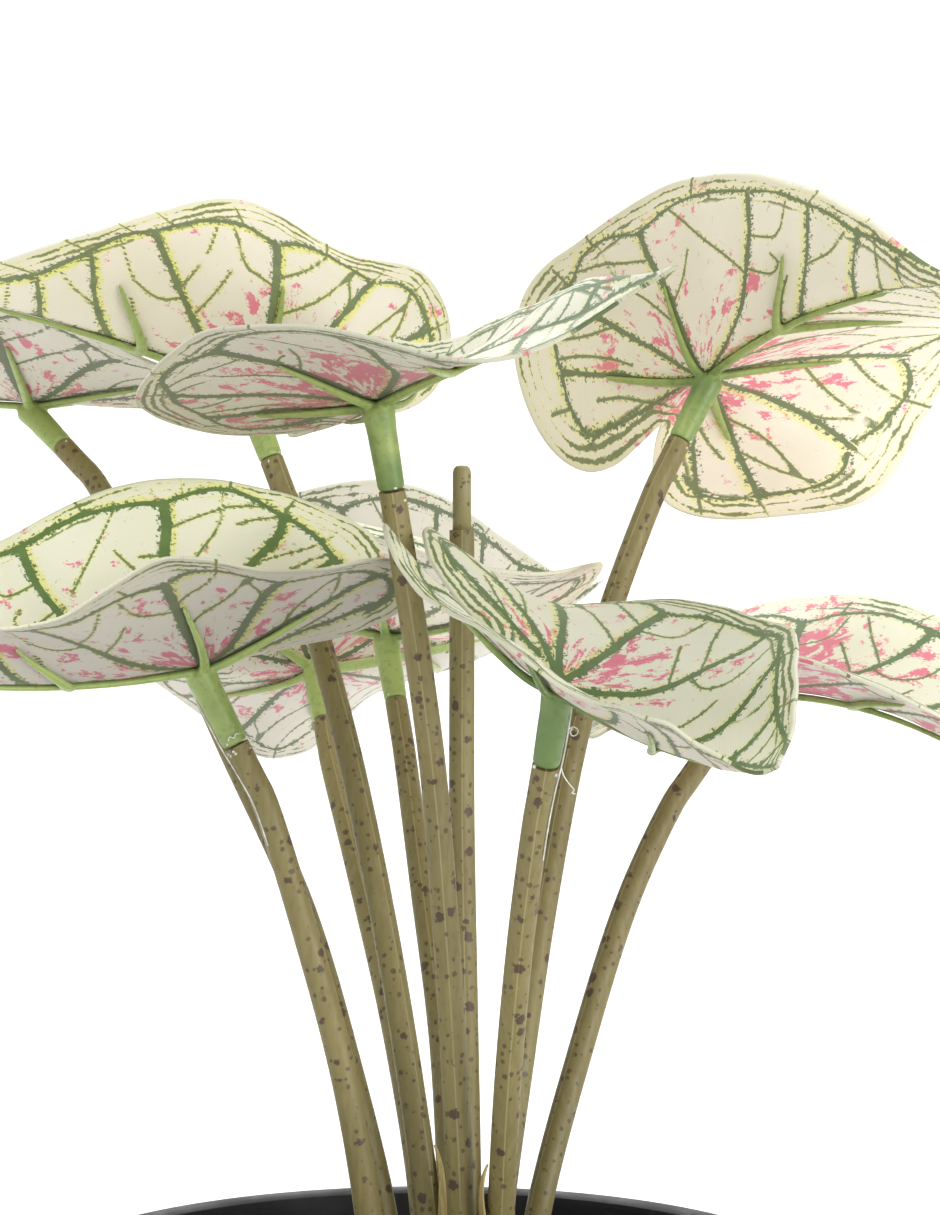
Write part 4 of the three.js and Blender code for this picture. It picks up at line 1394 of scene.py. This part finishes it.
def glue_piece(plant, settings, number):
    """The specks of dried glue on a joint, and the threads drawn out of it."""
    draw = np.random.default_rng(settings.seed + number)
    shapes = []
    for _ in range(plant["specks"]):
        angle, up = draw.uniform(*SPECK_BEARINGS), draw.uniform(*SPECK_HEIGHTS)
        radius = (SOCKET_FOOT_RADIUS if up > -SEAT_GAP else STEM_TOP_RADIUS) - 0.05
        at = joint_point(plant, radius * math.sin(angle), radius * math.cos(angle), up)
        shapes.append(speck_shape(at, draw.uniform(0.5, 1.0, 3) * settings.speck / MM))
    for radius, points in GLUE_THREADS.get(plant["name"], []):
        line = spline_points([joint_point(plant, *point) for point in points], 8)
        shapes.append(tube(line, radius * settings.thread / MM, 8))
    verts, faces = join_shapes(shapes)
    piece = new_object("glue_" + plant["name"], verts, faces)
    tidy_normals(piece)
    return piece


def glue_material():
    """Clear glue gone milky, clouded where it is thick."""
    s = Surface("dried_glue", Roughness=0.25, Coat_Weight=0.3)
    cloud = s.noise(s.object_place(), 700, 2.0)
    s.feed("Base Color", s.mix(s.ramp(cloud, 0.3, 0.7), GLUE_CLEAR, GLUE_MILKY))
    s.bump(cloud, 0.1, 0.5)
    return s.material


class CALADIUM_OT_glue(bpy.types.Operator):
    """Makes the glue left on the joints of stems and clips."""

    bl_idname = "caladium.glue"
    bl_label = "Glue"

    def execute(self, context):
        settings = context.scene.caladium_glue
        milky = glue_material()
        for number, plant in enumerate(PLANTS):
            finish_piece(glue_piece(plant, settings, number), milky, "clip")
        return {"FINISHED"}


# ---------------------------------------------------------------- pot and fill


def pot_profile():
    """Half the pot's section, from the underside's middle round the rim to the floor's middle."""
    _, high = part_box("pot")
    rim, height = high.x / MM, high.z / MM
    return [
        (0, 0), (44, 0), (46.2, 0), (47.3, 0.35), (48.0, 1.2), (48.6, 5), (61.95, 109.6),
        (62.2, 110.3), (63.9, 110.5), (64.7, 110.75), (rim, 111.5), (rim, 116.2),
        (rim - 0.35, 117.3), (rim - 1.1, height), (61.2, height), (60.2, 117.5), (59.85, 116.4),
        (59.75, 110), (46.4, 4), (45.4, 3), (0, 3),
    ]


def pot_material(settings):
    """Black moulded plastic with faint turning marks and scuffs."""
    s = Surface("pot_plastic", Roughness=0.55, Specular_IOR_Level=0.25)
    place = s.object_place()
    marks = s.noise(s.scaled(place, 0.02, 0.02, 1), 2600, 2.0)
    scuff = s.noise(place, 90, 4.0, 0.65)
    s.feed("Base Color", s.stain(colour(settings.black), scuff, 0.52, 0.72, 0.25, POT_DUST))
    s.feed("Roughness", s.ramp(scuff, 0.3, 0.7, 0.42, 0.6))
    s.bump(marks, 0.05, 0.35)
    return s.material


def fill_material():
    """Dark crumbly fill."""
    s = Surface("dark_fill", Roughness=0.95)
    place = s.object_place()
    coarse = s.noise(place, 180, 4.0, 0.65)
    fine = s.noise(place, 900, 3.0, 0.6)
    tone = s.mix(s.ramp(coarse, 0.35, 0.65), FILL_DARK, FILL_BROWN)
    tone = s.stain(tone, fine, 0.6, 0.75, 0.5, FILL_FIBRE)
    s.feed("Base Color", tone)
    s.bump(fine, 0.5, 0.8)
    return s.material


def fill_bed():
    """The fill's rough top, which falls off toward the pot's wall, over a plain plug."""
    crown = []
    for radius in np.linspace(BED_RADIUS, 0.6, BED_RINGS):
        outside = max(0.0, (radius - BED_LEVEL_RADIUS) / BED_LEVEL_RADIUS)
        crown.append((radius, FILL_TOP - BED_FALL * outside**1.6))
    plug = [(0, PLUG_BOTTOM), (PLUG_RADIUS, PLUG_BOTTOM)]
    verts, faces = lathe(plug + crown + [(0, FILL_TOP)], BED_SIDES)
    draw = np.random.default_rng(11)
    level, lift = verts[:, :2], np.zeros(len(verts))
    for _ in range(14):
        angle, phase, length = draw.uniform((0, 0, 4), (2 * math.pi, 2 * math.pi, 13))
        lift += np.sin(level @ [math.cos(angle), math.sin(angle)] * 2 * math.pi / length + phase)
    edge = np.clip((BED_RADIUS - np.hypot(*level.T)) / 4, 0, 1)
    verts[:, 2] += np.where(verts[:, 2] > FILL_TOP / 2, lift * 0.13 * edge, 0)
    return new_object("fill_bed", verts, faces)


def crumb_tree(material):
    """Nodes that scatter small crumbs over a surface's upward faces."""
    g = ShapeTree("crumbs", "Bed", {"Density": "Float", "Size": "Float", "Seed": "Int"})
    seed = g.source["Seed"]
    scatter = {"Mesh": g.source["Bed"], "Density": g.source["Density"], "Seed": seed}
    points = g.shape("GeometryNodeDistributePointsOnFaces", scatter)
    crumb = g.shape("GeometryNodeMeshIcoSphere", {"Subdivisions": 1, "Radius": 1.0})
    turn = {1: (6.28, 6.28, 6.28), "Seed": seed}
    turn = g.shape("FunctionNodeRandomValue", turn, data_type="FLOAT_VECTOR")
    size = {0: (0.25, 0.25, 0.2), 1: (1.0, 0.8, 0.6)}
    size = g.shape("FunctionNodeRandomValue", size, data_type="FLOAT_VECTOR")
    size = g.shape("ShaderNodeVectorMath", {0: size, "Scale": g.source["Size"]}, operation="SCALE")
    copies = {"Points": points, "Instance": crumb, "Rotation": turn, "Scale": size}
    g.close(g.shape("GeometryNodeInstanceOnPoints", copies), False, material)
    return g


def crumb_piece(settings, material):
    """Loose crumbs on the fill, clear of the pot's wall."""
    edge = (CRUMB_REACH, FILL_TOP - CRUMB_FALL)
    verts, faces = lathe([(0, FILL_TOP - 9), edge, (BED_LEVEL_RADIUS, FILL_TOP), (0, FILL_TOP)], 48)
    top_faces = [face for face in faces if 0 not in face]
    piece = new_object("fill_crumbs", verts, top_faces)
    density = settings.crumbs / (math.pi * (CRUMB_REACH * MM) ** 2)
    sizes = {"Density": density, "Size": settings.crumb_size, "Seed": settings.seed}
    return crumb_tree(material).applied(piece, sizes)


class CALADIUM_OT_pot(bpy.types.Operator):
    """Makes the round pot with its rolled rim."""

    bl_idname = "caladium.pot"
    bl_label = "Pot"

    def execute(self, context):
        settings = context.scene.caladium_pot
        verts, faces = lathe(pot_profile(), settings.sides)
        piece = new_object("nursery_pot", verts, faces)
        tidy_normals(piece)
        piece.data.set_sharp_from_angle(angle=math.radians(35))
        finish_piece(piece, pot_material(settings), "pot", "pot")
        return {"FINISHED"}


class CALADIUM_OT_fill(bpy.types.Operator):
    """Makes the fill's rough bed and the loose crumbs on it."""

    bl_idname = "caladium.fill"
    bl_label = "Fill"

    def execute(self, context):
        settings = context.scene.caladium_pot
        dark = fill_material()
        bed = fill_bed()
        tidy_normals(bed)
        finish_piece(bed, dark, "fill", "fill")
        finish_piece(crumb_piece(settings, dark), None, "fill")
        return {"FINISHED"}


# ---------------------------------------------------------------- stage


def sweep_backdrop():
    """A floor that curves up into a wall far behind the plant, in metres."""
    rows = [(FLOOR_FRONT, 0.0), (-0.4, 0.0), (FLOOR_END, 0.0)]
    for angle in np.linspace(0, math.pi / 2, 12):
        rows.append((FLOOR_END + WALL_BEND * math.sin(angle), WALL_BEND - WALL_BEND * math.cos(angle)))
    rows.append((FLOOR_END + WALL_BEND, WALL_TOP))
    verts = [(x, y, z) for y, z in rows for x in (-FLOOR_HALF_WIDTH, FLOOR_HALF_WIDTH)]
    faces = [(2 * i, 2 * i + 1, 2 * i + 3, 2 * i + 2) for i in range(len(rows) - 1)]
    return new_object("backdrop", np.array(verts) / MM, faces)


def soft_light(name, at, toward, size, power):
    """A round lamp of that size in metres and power in watts."""
    lamp = bpy.data.lights.new(name, "AREA")
    lamp.shape = "DISK"
    lamp.size = size
    lamp.energy = power
    holder = bpy.data.objects.new(name, lamp)
    holder.location = at
    holder.rotation_euler = (Vector(toward) - Vector(at)).to_track_quat("-Z", "Y").to_euler()
    bpy.context.scene.collection.objects.link(holder)


class CALADIUM_OT_stage(bpy.types.Operator):
    """Sets the pale floor, the soft lights and the camera."""

    bl_idname = "caladium.stage"
    bl_label = "Stage"

    def execute(self, context):
        settings = context.scene.caladium_stage
        floor = sweep_backdrop()
        paper = Surface("backdrop_paper", Roughness=0.9)
        paper.shader.inputs["Base Color"].default_value = colour(settings.floor)
        floor.data.materials.append(paper.material)
        world = bpy.data.worlds.new("studio")
        world.use_nodes = True
        sky = world.node_tree.nodes["Background"]
        sky.inputs["Color"].default_value = (1, 1, 1, 1)
        sky.inputs["Strength"].default_value = SKY_STRENGTH
        context.scene.world = world
        for name, light in LIGHTS.items():
            soft_light(name, *light)
        lens = bpy.data.cameras.new("camera")
        lens.sensor_fit = "VERTICAL"
        lens.angle = settings.field_of_view
        lens.clip_start = 0.01
        holder = bpy.data.objects.new("camera", lens)
        holder.location = settings.camera_at
        holder.rotation_euler = (math.pi / 2, 0, 0)
        context.scene.collection.objects.link(holder)
        context.scene.camera = holder
        context.scene.view_settings.view_transform = "Standard"
        return {"FINISHED"}


# ---------------------------------------------------------------- add-on


class CALADIUM_PT_parts(bpy.types.Panel):
    """Lists the caladium's pieces, each with its settings."""

    bl_idname = "CALADIUM_PT_parts"
    bl_label = "Potted caladium"
    bl_space_type = "VIEW_3D"
    bl_region_type = "UI"
    bl_category = "Caladium"

    def draw(self, context):
        layout = self.layout
        for operator, group in PANEL_ROWS:
            box = layout.box()
            box.operator(operator.bl_idname)
            if group:
                settings = getattr(context.scene, group)
                for name in settings.__annotations__:
                    box.prop(settings, name)


PANEL_ROWS = (
    (CALADIUM_OT_stage, "caladium_stage"), (CALADIUM_OT_pot, "caladium_pot"),
    (CALADIUM_OT_fill, None), (CALADIUM_OT_stems, "caladium_stems"),
    (CALADIUM_OT_clips, "caladium_clips"), (CALADIUM_OT_glue, "caladium_glue"),
    (CALADIUM_OT_leaves, "caladium_leaves"),
)
GROUPS = {
    "caladium_stage": CaladiumStageSettings, "caladium_pot": CaladiumPotSettings,
    "caladium_stems": CaladiumStemSettings, "caladium_clips": CaladiumClipSettings,
    "caladium_glue": CaladiumGlueSettings, "caladium_leaves": CaladiumLeafSettings,
}
CLASSES = (*GROUPS.values(), *(operator for operator, _ in PANEL_ROWS), CALADIUM_PT_parts)


def register():
    for made in CLASSES:
        bpy.utils.register_class(made)
    for name, group in GROUPS.items():
        setattr(bpy.types.Scene, name, bpy.props.PointerProperty(type=group))


def unregister():
    for name in GROUPS:
        delattr(bpy.types.Scene, name)
    for made in reversed(CLASSES):
        bpy.utils.unregister_class(made)


def main():
    """Makes every piece."""
    register()
    bpy.ops.caladium.stage()
    bpy.ops.caladium.pot()
    bpy.ops.caladium.fill()
    bpy.ops.caladium.stems()
    bpy.ops.caladium.clips()
    bpy.ops.caladium.glue()
    bpy.ops.caladium.leaves()
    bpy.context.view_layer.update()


if __name__ == "__main__":
    main()
